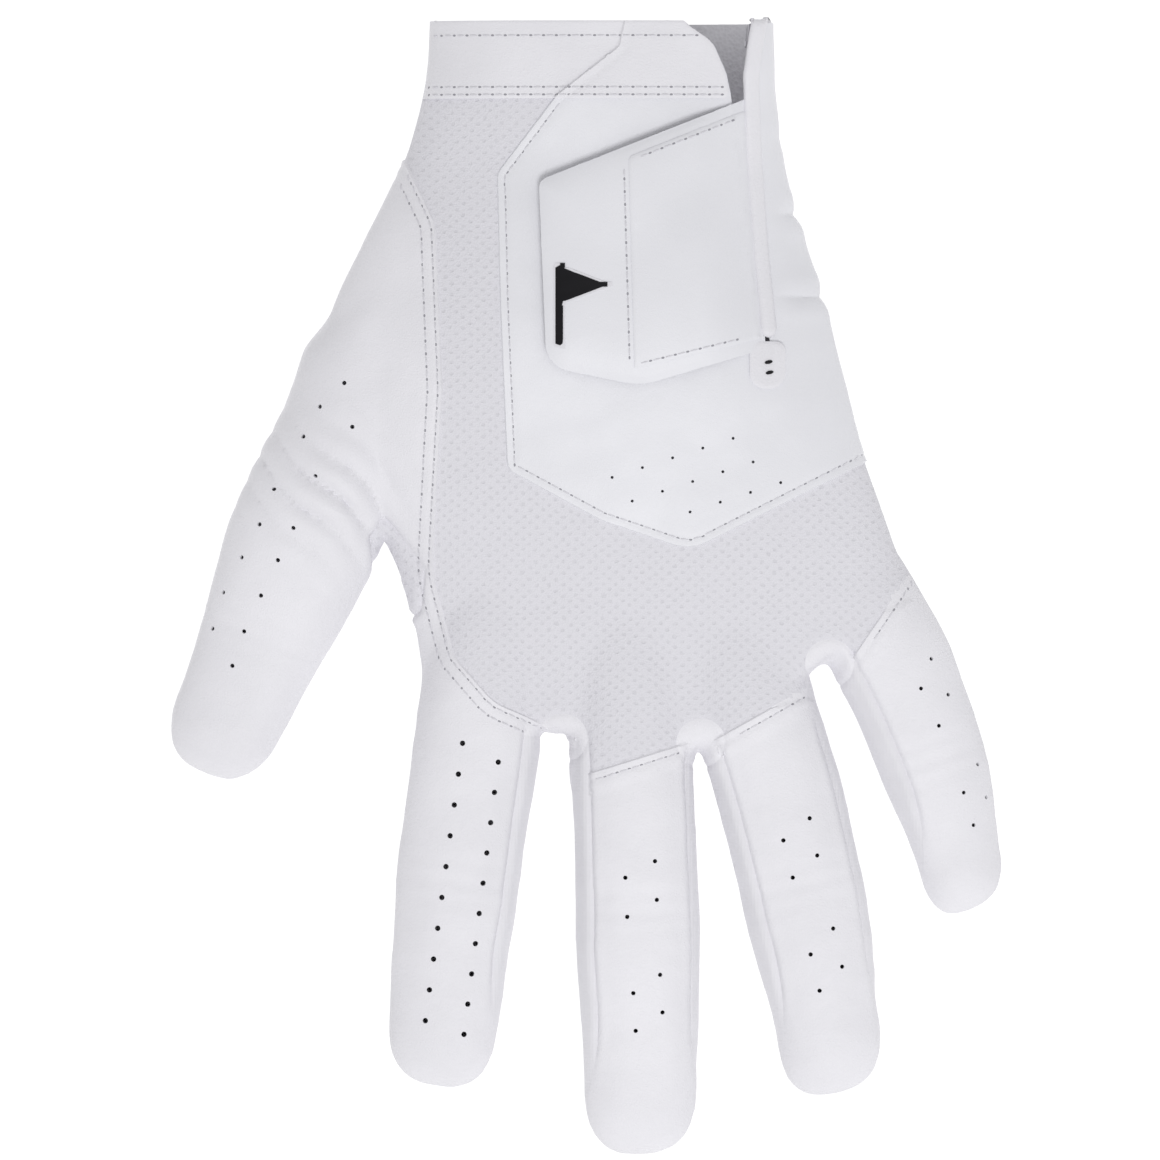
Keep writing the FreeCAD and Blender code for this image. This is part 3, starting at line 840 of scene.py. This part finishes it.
def stretch_knit():
    material, tree, place = new_material("stretch knit, polyamide and elastane")
    axes = add(tree, "ShaderNodeSeparateXYZ", links={"Vector": place})
    ribs, loops = (ridges(tree, axes.outputs[axis], RIB_PITCH) for axis in "XY")
    cloudy = add(tree, "ShaderNodeTexNoise", {"Scale": per_mm(7), "Detail": 3.0}, {"Vector": place})
    relief = add(tree, "ShaderNodeMath", {"operation": "MULTIPLY_ADD", 1: 0.5}, {0: loops, 2: ribs})
    surfaced(tree, {"Roughness": 0.75, "Sheen Weight": 0.2}, ("dfdee3", "e6e5ea"),
             cloudy.outputs["Fac"], relief.outputs["Value"], 0.015)
    return material


birdseye = birdseye_knit()
stretch = stretch_knit()


# %% [markdown]
# ### Tape, thread and film
# Hook-and-loop is a fuzz of nylon loops, so it is rough and full of tiny bumps. The hem and the wrist
# elastics are ribbed tape. Thread is polyester and slightly glossy. The marker is black polyurethane
# film, which is the only thing here with a clear shine, on a pale film a hair wider than itself.

# %% Tape, thread and film


def fuzzy(name, tones, size, depth):
    material, tree, place = new_material(name)
    loops = add(tree, "ShaderNodeTexVoronoi", {"Scale": per_mm(size)}, {"Vector": place}).outputs["Distance"]
    # The colour reads the same distance as the relief, so the fuzz is darkest in its pits: painted shade
    # between the loops.
    surfaced(tree, {"Roughness": 0.95, "Sheen Weight": 0.3}, tones, loops, loops, depth)
    return material


def ribbed_tape(name, tones, pitch, depth):
    material, tree, place = new_material(name)
    axes = add(tree, "ShaderNodeSeparateXYZ", links={"Vector": place})
    ribs = ridges(tree, axes.outputs["X"], pitch)
    # Its colour follows the ribs and is darkest in the grooves between them: painted shade.
    share = add(tree, "ShaderNodeMapRange", {"From Min": -1.0}, {"Value": ribs}).outputs["Result"]
    surfaced(tree, {"Roughness": 0.8, "Sheen Weight": 0.1}, tones, share, ribs, depth)
    return material


def smooth_finish(name, tones, roughness, speck):
    material, tree, place = new_material(name)
    specks = add(tree, "ShaderNodeTexNoise", {"Scale": per_mm(speck), "Detail": 3.0}, {"Vector": place})
    surfaced(tree, {"Roughness": roughness, "Specular IOR Level": 0.2}, tones, specks.outputs["Fac"],
             specks.outputs["Fac"], 0.02)
    return material


loop_fuzz = fuzzy("hook-and-loop tape, nylon", ("cccbd1", "dad9de"), 0.5, 0.2)
suede = fuzzy("flesh side of the leather", ("dcdbe0", "e5e4e9"), 0.8, 0.1)
elastic_tape = ribbed_tape("ribbed elastic tape", ("b4b3b9", "cdccd2"), 0.9, 0.08)
# The thread is white; its light grey is painted shade, standing for the channel that the stitch sinks into.
white_thread = smooth_finish("polyester thread, white", ("d0cfd5", "dedde2"), 0.4, 0.3)
dark_thread = smooth_finish("polyester thread, black", ("0e0e10", "1c1c20"), 0.5, 0.3)
needle_shadow = smooth_finish("needle hole, in shade", ("93929a", "a3a2a8"), 0.9, 0.6)
black_film = smooth_finish("polyurethane film, black", ("0b0a0e", "131217"), 0.35, 1.2)
pale_film = smooth_finish("polyurethane film, clear edge", ("dddce1", "e4e3e8"), 0.3, 1.2)

FINISHES = {"leather_white": cabretta, "synthetic_white": microfibre, "mesh_fabric": birdseye,
            "fourchette_fabric": stretch, "hook_and_loop": loop_fuzz, "elastic_white": elastic_tape,
            "emblem_black": black_film, "thread_black": dark_thread}
print(len(bpy.data.materials), "materials")


# %% Cutting out the panels
THICKNESS = {"closure_panel": 0.7, "back_mesh": 0.55, "thumb_gusset": 0.55}
LEATHER_THICKNESS = 0.6
SHARP = math.radians(42)
pieces = {}


def finish_piece(name, bm, node, slot, finish=None, inner=None):
    """Turns a bmesh in millimetres into a finished object in the frame."""
    bmesh.ops.scale(bm, vec=(MM, MM, MM), verts=bm.verts)
    obj = new_object(name, bm)
    obj.data.materials.append(finish or FINISHES[slot])
    if inner:
        obj.data.materials.append(inner)
    obj.data.shade_smooth()
    obj.data.set_sharp_from_angle(angle=SHARP)
    if node:
        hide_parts(node)
    pieces[name] = obj
    return obj


def thickened(bm, thickness, inside_slot=0):
    """A closed sheet, grown inwards from its outer surface."""
    obj = new_object("sheet", bm)
    for _ in range(inside_slot + 1):
        obj.data.materials.append(None)
    solidify = obj.modifiers.new("thickness", "SOLIDIFY")
    solidify.material_offset = inside_slot
    solidify.thickness = thickness
    solidify.offset = -1
    solidify.use_even_offset = False
    baked(obj)
    solid = bmesh.new()
    solid.from_mesh(obj.data)
    bpy.data.objects.remove(obj)
    return solid


SLOTS = {"closure_panel": "synthetic_white", "back_mesh": "mesh_fabric", "thumb_gusset": "mesh_fabric"}


def slot_of(node):
    return SLOTS.get(node, "fourchette_fabric" if "fourchette" in node else "leather_white")


def digit_and_length(node):
    digit, _, rest = node.partition("_")
    length = node.rpartition("_")[2]
    return (digit, length) if digit in DIGITS and length in ("base", "tip") else (None, None)


panel_bmeshes = {}
for node in sorted(set(face_panel) - {""}):
    panel = skin.copy()
    panel.faces.ensure_lookup_table()
    others = [f for f, owner in zip(panel.faces, face_panel) if owner != node]
    bmesh.ops.delete(panel, geom=others, context="FACES")
    panel_bmeshes[node] = thickened(panel, THICKNESS.get(node, LEATHER_THICKNESS), 1)
print(len(panel_bmeshes), "panels")

# %% [markdown]
# ## Punched holes
# The leather is punched so that it breathes. A punch is a round tube, and so is its hole, and a Boolean
# with a set of slim cylinders cuts them clean through the panel's real thickness. A dark dot on the
# surface would look the same from above and wrong from the side.

# %% Punched holes


def row_of(start, step, count):
    return [(start[0] + step[0] * i, start[1] + step[1] * i) for i in range(count)]


CLOSURE_STEP = (6.4, 2.07)
PUNCHED = {
    "closure": (0.65, row_of((5.5, 23.2), CLOSURE_STEP, 5) + row_of((9.75, 18.2), CLOSURE_STEP, 5)
                + row_of((22.0, 15.9), CLOSURE_STEP, 4)),
    "index": (1.2, row_of((-26.2, -33.1), (-0.88, -6.54), 10) + row_of((-18.6, -37.1), (-0.81, -6.42), 10)),
    "middle": (0.95, [(14.6, -58.1), (8.3, -61.6), (15.0, -66.3), (8.7, -69.9), (15.7, -82.2), (10.0, -86.1),
                      (16.2, -90.2), (10.5, -94.1)]),
    "ring": (0.95, [(47.4, -49.0), (41.8, -53.7), (49.0, -56.9), (43.8, -61.6), (52.4, -72.4), (47.6, -77.9),
                    (54.3, -80.5), (49.5, -85.6)]),
    "little": (0.85, [(73.2, -15.2), (71.0, -21.5), (76.8, -22.8), (74.8, -29.4), (83.1, -37.6),
                      (80.1, -43.6), (84.9, -44.6), (82.2, -50.5)]),
    "thumb": (0.95, [(-51.2, 43.2), (-56.4, 38.2), (-49.5, 33.9), (-59.9, 31.9), (-57.3, 23.5),
                     (-66.1, 20.8), (-69.2, 13.3), (-62.0, 12.5), (-73.0, 6.3), (-65.3, 5.7),
                     (-76.9, -1.1), (-68.9, -1.8), (-79.2, -8.8), (-72.5, -9.4), (-75.0, -16.7)]),
}
PUNCH_SIDES = 12
PUNCH_DEPTH = 2.2


def punched_panels(group):
    """The panels that a group of holes lies on."""
    if group == "closure":
        return ["closure_panel"]
    backs = [n for n in panel_bmeshes if n.startswith(group + "_back")]
    return backs + ["thumb_side_leather"] * (group in ("thumb", "index"))


def surface_tree(bms):
    """One tree to find the surface of several meshes with a ray."""
    return BVHTree.FromBMesh(joined(bms))


def top_point(tree, x, y):
    """The highest point of the surface at a place in plan, with its normal."""
    place, normal, index, distance = tree.ray_cast(Vector((x, y, 80.0)), Vector((0, 0, -1)))
    return place, normal


def punch(bm, places, diameter):
    """Cuts round holes through the upper wall of a panel, square to its surface."""
    tree = BVHTree.FromBMesh(bm)
    tools = bmesh.new()
    for x, y in places:
        place, normal = top_point(tree, x, y)
        if place is None:
            continue
        turn = normal.to_track_quat("Z", "Y").to_matrix().to_4x4()
        bmesh.ops.create_cone(tools, cap_ends=True, segments=PUNCH_SIDES, depth=PUNCH_DEPTH,
                              radius1=diameter / 2, radius2=diameter / 2,
                              matrix=Matrix.Translation(place) @ turn)
    if not tools.faces:
        tools.free()
        return bm
    panel = new_object("panel", bm)
    tool = new_object("punch", tools)
    cut = panel.modifiers.new("holes", "BOOLEAN")
    cut.operation = "DIFFERENCE"
    cut.solver = "EXACT"
    cut.object = tool
    baked(panel)
    result = bmesh.new()
    result.from_mesh(panel.data)
    bpy.data.objects.remove(panel)
    bpy.data.objects.remove(tool)
    return result


for group, (diameter, places) in PUNCHED.items():
    for node in punched_panels(group):
        before = len(panel_bmeshes[node].faces)
        panel_bmeshes[node] = punch(panel_bmeshes[node], places, diameter)
        print(node, before, "->", len(panel_bmeshes[node].faces), end="; ")
print()

# %% Finishing the panels
for node, bm in panel_bmeshes.items():
    piece = finish_piece("sewn_" + node, bm.copy(), node, slot_of(node), inner=suede)
    attach(piece, *digit_and_length(node))
print(len(pieces), "pieces")

# %% [markdown]
# ## Layers sewn on top
# The wrist has layers that lie on the panels. Each could be a flat shape shrinkwrapped onto the hand, but a
# flat shape has to be stretched to fit a curve. So each is the skin's own surface again, cut to the
# layer's outline, calmed a little, because a second layer bridges small bumps, and raised to its height.
# Heights are given by a function of the place and of the distance from the layer's edge, which is how the
# tab gets a thin rim, a full middle, and an end that comes down to the seam that it hangs on.

# %% How a layer is laid


def lay(field, top, thickness, rows=(0.25, 0.6, 1.2), calm=0, where=upper):
    """A layer on the skin where field is positive, whose outer face has the height top(points, field)."""
    bm = skin.copy()
    value = field(rest_points)
    allowed = where(rest_points)
    bm.verts.ensure_lookup_table()
    far = [v for v, f, ok in zip(bm.verts, value, allowed) if f < -3 or not ok]
    bmesh.ops.delete(bm, geom=far, context="VERTS")
    score(bm, field, (0.0,) + rows)
    bm.faces.ensure_lookup_table()
    middles = np.array([f.calc_center_median()[:] for f in bm.faces])
    outside = [f for f, inside in zip(bm.faces, field(middles) > 0) if not inside]
    bmesh.ops.delete(bm, geom=outside, context="FACES")
    for _ in range(calm):
        bmesh.ops.smooth_vert(bm, verts=bm.verts, factor=0.5, use_axis_z=True)
    bm.normal_update()
    at = coordinates(bm)
    for v, h in zip(bm.verts, top(at, field(at))):
        if h > 0:
            v.co.z += float(h) / max(v.normal.z, 0.6)
        else:
            v.co += v.normal * float(h)
    return thickened(bm, thickness)


def rounded_edge(height, drop, width):
    """An even height whose edge is turned down by drop."""
    return lambda p, f: height - drop * (1 - ease(f / width + 0.25))


layer_bmeshes = {}

# %% [markdown]
# ### The cuff band
# A strip of leather folded over the wrist opening hides the raw ends of the other panels. It lies over the
# slanting edge of the closure panel, which shows through it as a step.

# %% The cuff band
BAND_LOW = 103.4
BAND = [(-60.0, CUFF_Y + 4, 0), (19.8, CUFF_Y + 4, 0), (21.2, CUFF_Y - 0.4, 2), (26.8, 115.2, 5),
        (29.5, 108.8, 6), (30.2, BAND_LOW + 1.2, 0), (29.6, BAND_LOW, 0), (-60.0, BAND_LOW, 0)]
FOLD_OVER = 0.35                # how far the fold stands past the panels' ends

band_outline_field = in_outline(BAND)


def band_field(points):
    return np.minimum(band_outline_field(points), CUFF_Y + FOLD_OVER - points[:, 1])


layer_bmeshes["cuff_band"] = lay(band_field, rounded_edge(0.75, 0.15, 0.6), 0.7)
print("cuff band:", len(layer_bmeshes["cuff_band"].faces), "faces")

# %% [markdown]
# ### The closure tab
# A stack of layers, from the hand outwards: the loop patch on the closure panel, then the hook patch, a
# backing and the tab itself, with a strap panel over its sewn half. The tab is padded, so it is a few
# tenths of a millimetre thick at its rim and swells inside it.

# %% The closure tab
TAB = [(34.6, 103.6, 0), (-10.0, 86.0, 2), (-8.4, 46.6, 6), (11.5, 42.6, 14), (38.0, 50.4, 0)]
TAB_RIM = [(64.6, 115.0, 0)] + TAB[1:4] + [(68.0, 59.4, 0)]    # the outline without its sewn end
STRAP = [(34.0, 101.0, 0), (9.0, 91.0, 0), (10.2, 46.0, 0), (37.4, 52.7, 0)]
HOOKS = [(8.0, 90.0, 1), (-6.8, 83.6, 2), (-5.4, 49.8, 4), (8.0, 47.2, 2)]
LOOPS = [(21.0, 95.0, 1), (-6.8, 83.6, 2), (-5.4, 49.8, 4), (10.0, 46.8, 4), (23.0, 50.2, 1)]
BACKING = [(27.0, 98.4, 0), (-8.4, 84.4, 2), (-6.8, 48.2, 5), (11.0, 44.6, 12), (29.0, 50.0, 0)]
TAB_RISE = 12.0                 # over this length the tab climbs from its seam to its full height
TAB_RIM_HEIGHT, TAB_CROWN, TAB_CROWN_REACH = 2.15, 1.55, 2.9

tab_rim_field = in_outline(TAB_RIM)


def settled(points, height):
    """A height on the tab, brought down to the hand towards the seam that the tab hangs on."""
    (x0, y0, _), (x1, y1, _) = TAB[0], TAB[-1]
    across = np.array((y1 - y0, x0 - x1)) / math.dist((x0, y0), (x1, y1))
    from_seam = np.abs((points[:, :2] - np.array((x0, y0))) @ across)
    return 0.3 + (height - 0.3) * ease(from_seam / TAB_RISE * 0.8 + 0.1)


def tab_top(points):
    from_rim = np.clip(tab_rim_field(points), 0, 50)
    return settled(points, TAB_RIM_HEIGHT + TAB_CROWN * (1 - np.exp(-from_rim / TAB_CROWN_REACH)))


def under_tab(height):
    return lambda p, f: settled(p, height)


def on_tab(height, drop=0.0, width=0.8):
    edge = rounded_edge(height, drop, width)
    return lambda p, f: tab_top(p) + edge(p, f)


TAB_CALM = 16                   # all that lies on the tab is calmed as much as the tab
layer_bmeshes["loop_patch"] = lay(in_outline(LOOPS), rounded_edge(0.6, 0.1, 0.6), 0.5, calm=4)
layer_bmeshes["hook_patch"] = lay(in_outline(HOOKS), under_tab(1.15), 0.4, calm=8)
layer_bmeshes["tab_backing"] = lay(in_outline(BACKING), under_tab(1.6), 0.4, calm=12)
layer_bmeshes["tab_leather"] = lay(in_outline(TAB), lambda p, f: tab_top(p), 0.75, calm=TAB_CALM)
layer_bmeshes["tab_strap"] = lay(in_outline(STRAP), on_tab(0.35, 0.2), 0.3, calm=TAB_CALM)
print("tab layers:", {n: len(b.faces) for n, b in layer_bmeshes.items() if n != "cuff_band"})

# %% [markdown]
# ### The binding and the slit's end
# The slit's right edge is bound with a rolled strip, so its height is a half round. Where the slit ends, a
# small patch keeps it from tearing on, held by a black bar tack.

# %% The binding and the slit's end
BINDING = [(37.2, CUFF_Y + 3), (35.9, CUFF_Y - 4), (34.9, 108.0), (35.5, 90.0), (37.0, 70.0), (38.6, 54.5)]
BINDING_WIDTH = 3.4
BINDING_HEIGHT = 1.55
STOP_PATCH = [(34.6, 52.0, 2), (34.6, 42.0, 3.2), (42.2, 42.0, 3.2), (42.2, 52.0, 2)]


def binding_field(points):
    """Positive within half the width of the binding's line, and below its end."""
    line = np.array(BINDING)
    from_rim = BINDING_WIDTH / 2 - segment_distance(line[:-1], line[1:], points)
    return np.minimum(from_rim, CUFF_Y + 2 * FOLD_OVER - points[:, 1])


def rolled(points, field):
    across = np.clip(1 - field / (BINDING_WIDTH / 2), 0, 1)
    return 0.25 + (BINDING_HEIGHT - 0.25) * np.sqrt(1 - across ** 2)


layer_bmeshes["slit_binding"] = lay(binding_field, rolled, 1.2, rows=(0.15, 0.45, 0.9, 1.35))
layer_bmeshes["slit_stop_patch"] = lay(in_outline(STOP_PATCH), rounded_edge(0.7, 0.2, 0.8), 0.7, calm=2)
print("binding:", len(layer_bmeshes["slit_binding"].faces), "faces")

# %% [markdown]
# ### Inside the cuff
# A tape is sewn inside the wrist opening, and three elastics inside the palm side gather the leather. They
# are laid with a height below the skin, past the leather's own thickness.

# %% Inside the cuff
HEM_DEPTH = 4.5
ELASTIC_WIDTH = 4.0
INSIDE = -0.85
TAPE_THICKNESS = 0.5


def inside(points, field):
    return np.full(len(points), INSIDE)


def hem_field(points):
    from_ends = np.minimum(points[:, 1] - (CUFF_Y - HEM_DEPTH), CUFF_Y - 0.2 - points[:, 1])
    return np.minimum(from_ends, -slit_field(points))


def elastics_field(points):
    across = np.max([ELASTIC_WIDTH / 2 - np.abs(points[:, 1] - y) for y, pull in GATHERS], axis=0)
    return np.minimum(across, -0.5 - above_seam(points))


def low_wrist(points):
    return (points[:, 1] > 50) & (above_seam(points) < 1.0)


layer_bmeshes["cuff_hem"] = lay(hem_field, inside, TAPE_THICKNESS, (), where=lambda p: p[:, 1] > 100)
layer_bmeshes["wrist_elastics"] = lay(elastics_field, inside, TAPE_THICKNESS, (), where=low_wrist)
print("tapes:", len(layer_bmeshes["cuff_hem"].faces), len(layer_bmeshes["wrist_elastics"].faces), "faces")

# %% [markdown]
# ### The marker on the tab
# A plain pin and flag of black film, welded to the tab over a clear film that shows as a fine pale line
# around it. Both follow the tab's curve, so they are laid on it like the strap.

# %% The marker on the tab
FLAG_CENTRE = np.array((-1.0, 59.6))
FLAG_SIZE = np.array((11.0, 17.0))
POLE_WIDTH = 1.6
FLAG_DROP = 8.4
CLEAR_EDGE = 0.45


def flag_field(points):
    """Positive inside a pin with a three-cornered flag."""
    low = FLAG_CENTRE - FLAG_SIZE / 2
    high = FLAG_CENTRE + FLAG_SIZE / 2
    pole = np.array([low, (low[0] + POLE_WIDTH, low[1]), (low[0] + POLE_WIDTH, high[1]), (low[0], high[1])])
    flag = np.array([(low[0], high[1]), (high[0], high[1] - FLAG_DROP / 2), (low[0], high[1] - FLAG_DROP)])
    return np.maximum(inside_distance(pole, points), inside_distance(flag, points))


layer_bmeshes["tab_emblem"] = lay(flag_field, on_tab(0.28), 0.25, calm=TAB_CALM)
clear_film = lay(lambda p: flag_field(p) + CLEAR_EDGE, on_tab(0.14), 0.12, calm=TAB_CALM)
print("marker:", len(layer_bmeshes["tab_emblem"].faces), "faces")

# %% [markdown]
# ### Putting the layers on their bodies
# The tab peels about its sewn edge. Leather bends there over a few millimetres and doesn't fold like a
# door. The layers that reach the edge only have their transforms baked in place; the others ride on the
# hand or on the tab.

# %% Putting the layers on their bodies
LAYERS_OF = {"leather_white": ("cuff_band", "slit_stop_patch", "slit_binding"),
             "hook_and_loop": ("loop_patch", "hook_patch"),
             "synthetic_white": ("tab_backing", "tab_leather", "tab_strap"),
             "elastic_white": ("cuff_hem", "wrist_elastics"), "emblem_black": ("tab_emblem",)}
LAYER_SLOTS = {node: slot for slot, nodes in LAYERS_OF.items() for node in nodes}
BENDING = ("tab_leather", "tab_backing", "tab_strap")
RIDING_ON_TAB = ("hook_patch", "tab_emblem")


def bend_with_tab(piece):
    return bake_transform(piece)


for node, bm in layer_bmeshes.items():
    piece = finish_piece("sewn_" + node, bm.copy(), node, LAYER_SLOTS[node])
    if node in BENDING:
        bend_with_tab(piece)
    else:
        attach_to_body(piece, "tab" if node in RIDING_ON_TAB else "hand")
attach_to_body(finish_piece("marker_border", clear_film, None, "synthetic_white", pale_film), "tab")
print(len(pieces), "pieces")

# %% [markdown]
# ## Stitches
# Polyester thread shows as short rounded dashes that sink at both ends into a needle hole, whose shade is
# painted as a small flat grey disc. One stitch is a stretched ball with few faces, because there are
# hundreds of them. Rows follow the outlines at a fixed distance inside, and a ray from above finds the
# surface under each stitch, so they ride over laps.

# %% Stitch tools
PITCH = 2.7
STITCH_LENGTH = 1.9
THREAD = 0.42
# size of the flat grey disc of painted shade that stands for each needle hole
NEEDLE_HOLE_SHADE = (0.75, 0.45)
STEEPEST = 0.2                  # a stitch needs a surface whose normal points up at least this much


def read_along(line, step, start=0.0):
    """Places at even steps along a line, and the function that reads the line at any place."""
    line = np.array(line, float)
    run = np.concatenate(([0], np.cumsum(np.hypot(*np.diff(line, axis=0).T))))
    return (np.arange(start, run[-1], step),
            lambda places: np.stack([np.interp(places, run, line[:, k]) for k in (0, 1)], axis=-1))


def dense(line):
    """The same line with a point every half millimetre."""
    places, read = read_along(line, 0.5)
    return read(places)


def moved_inside(line, amount, field):
    """The line moved sideways, to the side where field is higher."""
    ahead = np.gradient(line, axis=0)
    ahead /= np.hypot(*ahead.T)[:, None]
    sideways = np.stack((ahead[:, 1], -ahead[:, 0]), axis=1) * amount
    return max((line + sideways, line - sideways), key=lambda moved: field(moved).mean())


def rows_inside(corners, amount, test):
    """The outline of corners moved inwards, as the runs of it that pass a test."""
    outline = rounded(corners)
    ring = dense(np.vstack((outline, outline[:1])))
    line = moved_inside(ring, amount, lambda points: inside_distance(outline, points))
    kept = [tuple(p) for p in line if test(*p)]
    runs = [[kept[0]]]
    for a, b in zip(kept, kept[1:]):
        if math.dist(a, b) > 3.0:
            runs.append([])
        runs[-1].append(b)
    return [run for run in runs if len(run) > 6]


def on_surface(tree, x, y, ahead, lift):
    """The transform that lays a shape on the surface, its x axis ahead; none beside it or on a wall."""
    place, normal = top_point(tree, x, y)
    if place is None or normal.z < STEEPEST:
        return None
    side = normal.cross(ahead).normalized()
    axes = Matrix((side.cross(normal).normalized(), side, normal)).transposed().to_4x4()
    return Matrix.Translation(place + normal * lift) @ axes


def stitched(name, tree, lines):
    """Threads, and flat grey discs of painted shade at the needle holes, along some lines, as two pieces."""
    threads = bmesh.new()
    holes = bmesh.new()
    stitch = Matrix.Diagonal((STITCH_LENGTH / 2, THREAD / 2, THREAD / 2, 1))
    hole = Matrix.Diagonal((NEEDLE_HOLE_SHADE[0] / 2, NEEDLE_HOLE_SHADE[1] / 2, 1, 1))
    for line in lines:
        places, read = read_along(line, PITCH, PITCH / 2)
        for place in places:
            x, y = read(place)
            ahead = Vector((*(read(place + 0.3) - read(place - 0.3)), 0)).normalized()
            where = on_surface(tree, x, y, ahead, 0.02)
            if where:
                bmesh.ops.create_icosphere(threads, subdivisions=1, radius=1.0, matrix=where @ stitch)
            # between two stitches, a flat grey disc of painted shade stands for the needle hole
            where = on_surface(tree, x + ahead.x * PITCH / 2, y + ahead.y * PITCH / 2, ahead, 0.03)
            if where:
                bmesh.ops.create_circle(holes, cap_ends=True, segments=8, radius=1.0, matrix=where @ hole)
    return (finish_piece("thread_" + name, threads, None, "synthetic_white", white_thread),
            finish_piece("needle_hole_shade_" + name, holes, None, "synthetic_white", needle_shadow))


# %% Rows on the panels
panel_tree = surface_tree(panel_bmeshes.values())
RIGHT_END = 59.0
closure_rows = rows_inside(CLOSURE, CLOSURE_ROW, lambda x, y: y < BAND_LOW - 0.5 and x < RIGHT_END)


def beside_thumb(x, y):
    clear_of_closure = closure_field(np.array([(x, y, 20.0)]))[0] < -0.5
    return x > -40 and -30.5 < y < 88 and clear_of_closure


thumb_rows = [line for row in THUMB_ROWS for line in rows_inside(THUMB_SIDE, row, beside_thumb)]
for name, rows in (("closure", closure_rows), ("thumb_side", thumb_rows)):
    for piece in stitched(name, panel_tree, rows):
        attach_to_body(piece, "hand")

for name, ends in KNUCKLE_SEAMS.items():
    row = moved_inside(dense(ends), KNUCKLE_ROW, knuckle_field(name))
    for piece in stitched(name + "_knuckle", panel_tree, [row]):
        attach(piece, name, "base")
print("rows:", len(closure_rows), "on the closure,", len(thumb_rows), "beside the thumb")

# %% Rows on the cuff band and the tab
BAND_ROWS = (CUFF_Y - 2.8, 105.8, 104.2)
band_tree = surface_tree([layer_bmeshes["cuff_band"]])
for piece in stitched("cuff_band", band_tree, [dense([(-36, y), (29, y)]) for y in BAND_ROWS]):
    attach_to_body(piece, "hand")

TAB_ROWS = [[(8.0, 89.0), (9.2, 47.5)], [(11.0, 47.2), (33.0, 52.6)], [(11.0, 90.8), (31.5, 98.9)]]
tab_tree = surface_tree([layer_bmeshes["tab_leather"], layer_bmeshes["tab_strap"]])
for piece in stitched("tab", tab_tree, [dense(row) for row in TAB_ROWS]):
    bend_with_tab(piece)

# %% The bar tack
TACKS = ((38.6, 47.6), (38.8, 45.4))
TACK_SHAPE = Matrix.Diagonal((0.9, 0.4, 0.4, 1))
stop_tree = surface_tree([layer_bmeshes["slit_stop_patch"]])
tacks = bmesh.new()
for x, y in TACKS:
    where = on_surface(stop_tree, x, y, Vector((1.0, 0.2, 0.0)), 0.1)
    bmesh.ops.create_icosphere(tacks, subdivisions=2, radius=1.0, matrix=where @ TACK_SHAPE)
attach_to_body(finish_piece("sewn_slit_bar_tack", tacks, "slit_bar_tack", "thread_black"), "hand")
print(len(pieces), "pieces with their stitches")

# %% [markdown]
# ## Finish
# The Standard view keeps white leather at the value that its colour gives.

# %% Finish
bpy.context.scene.view_settings.view_transform = "Standard"
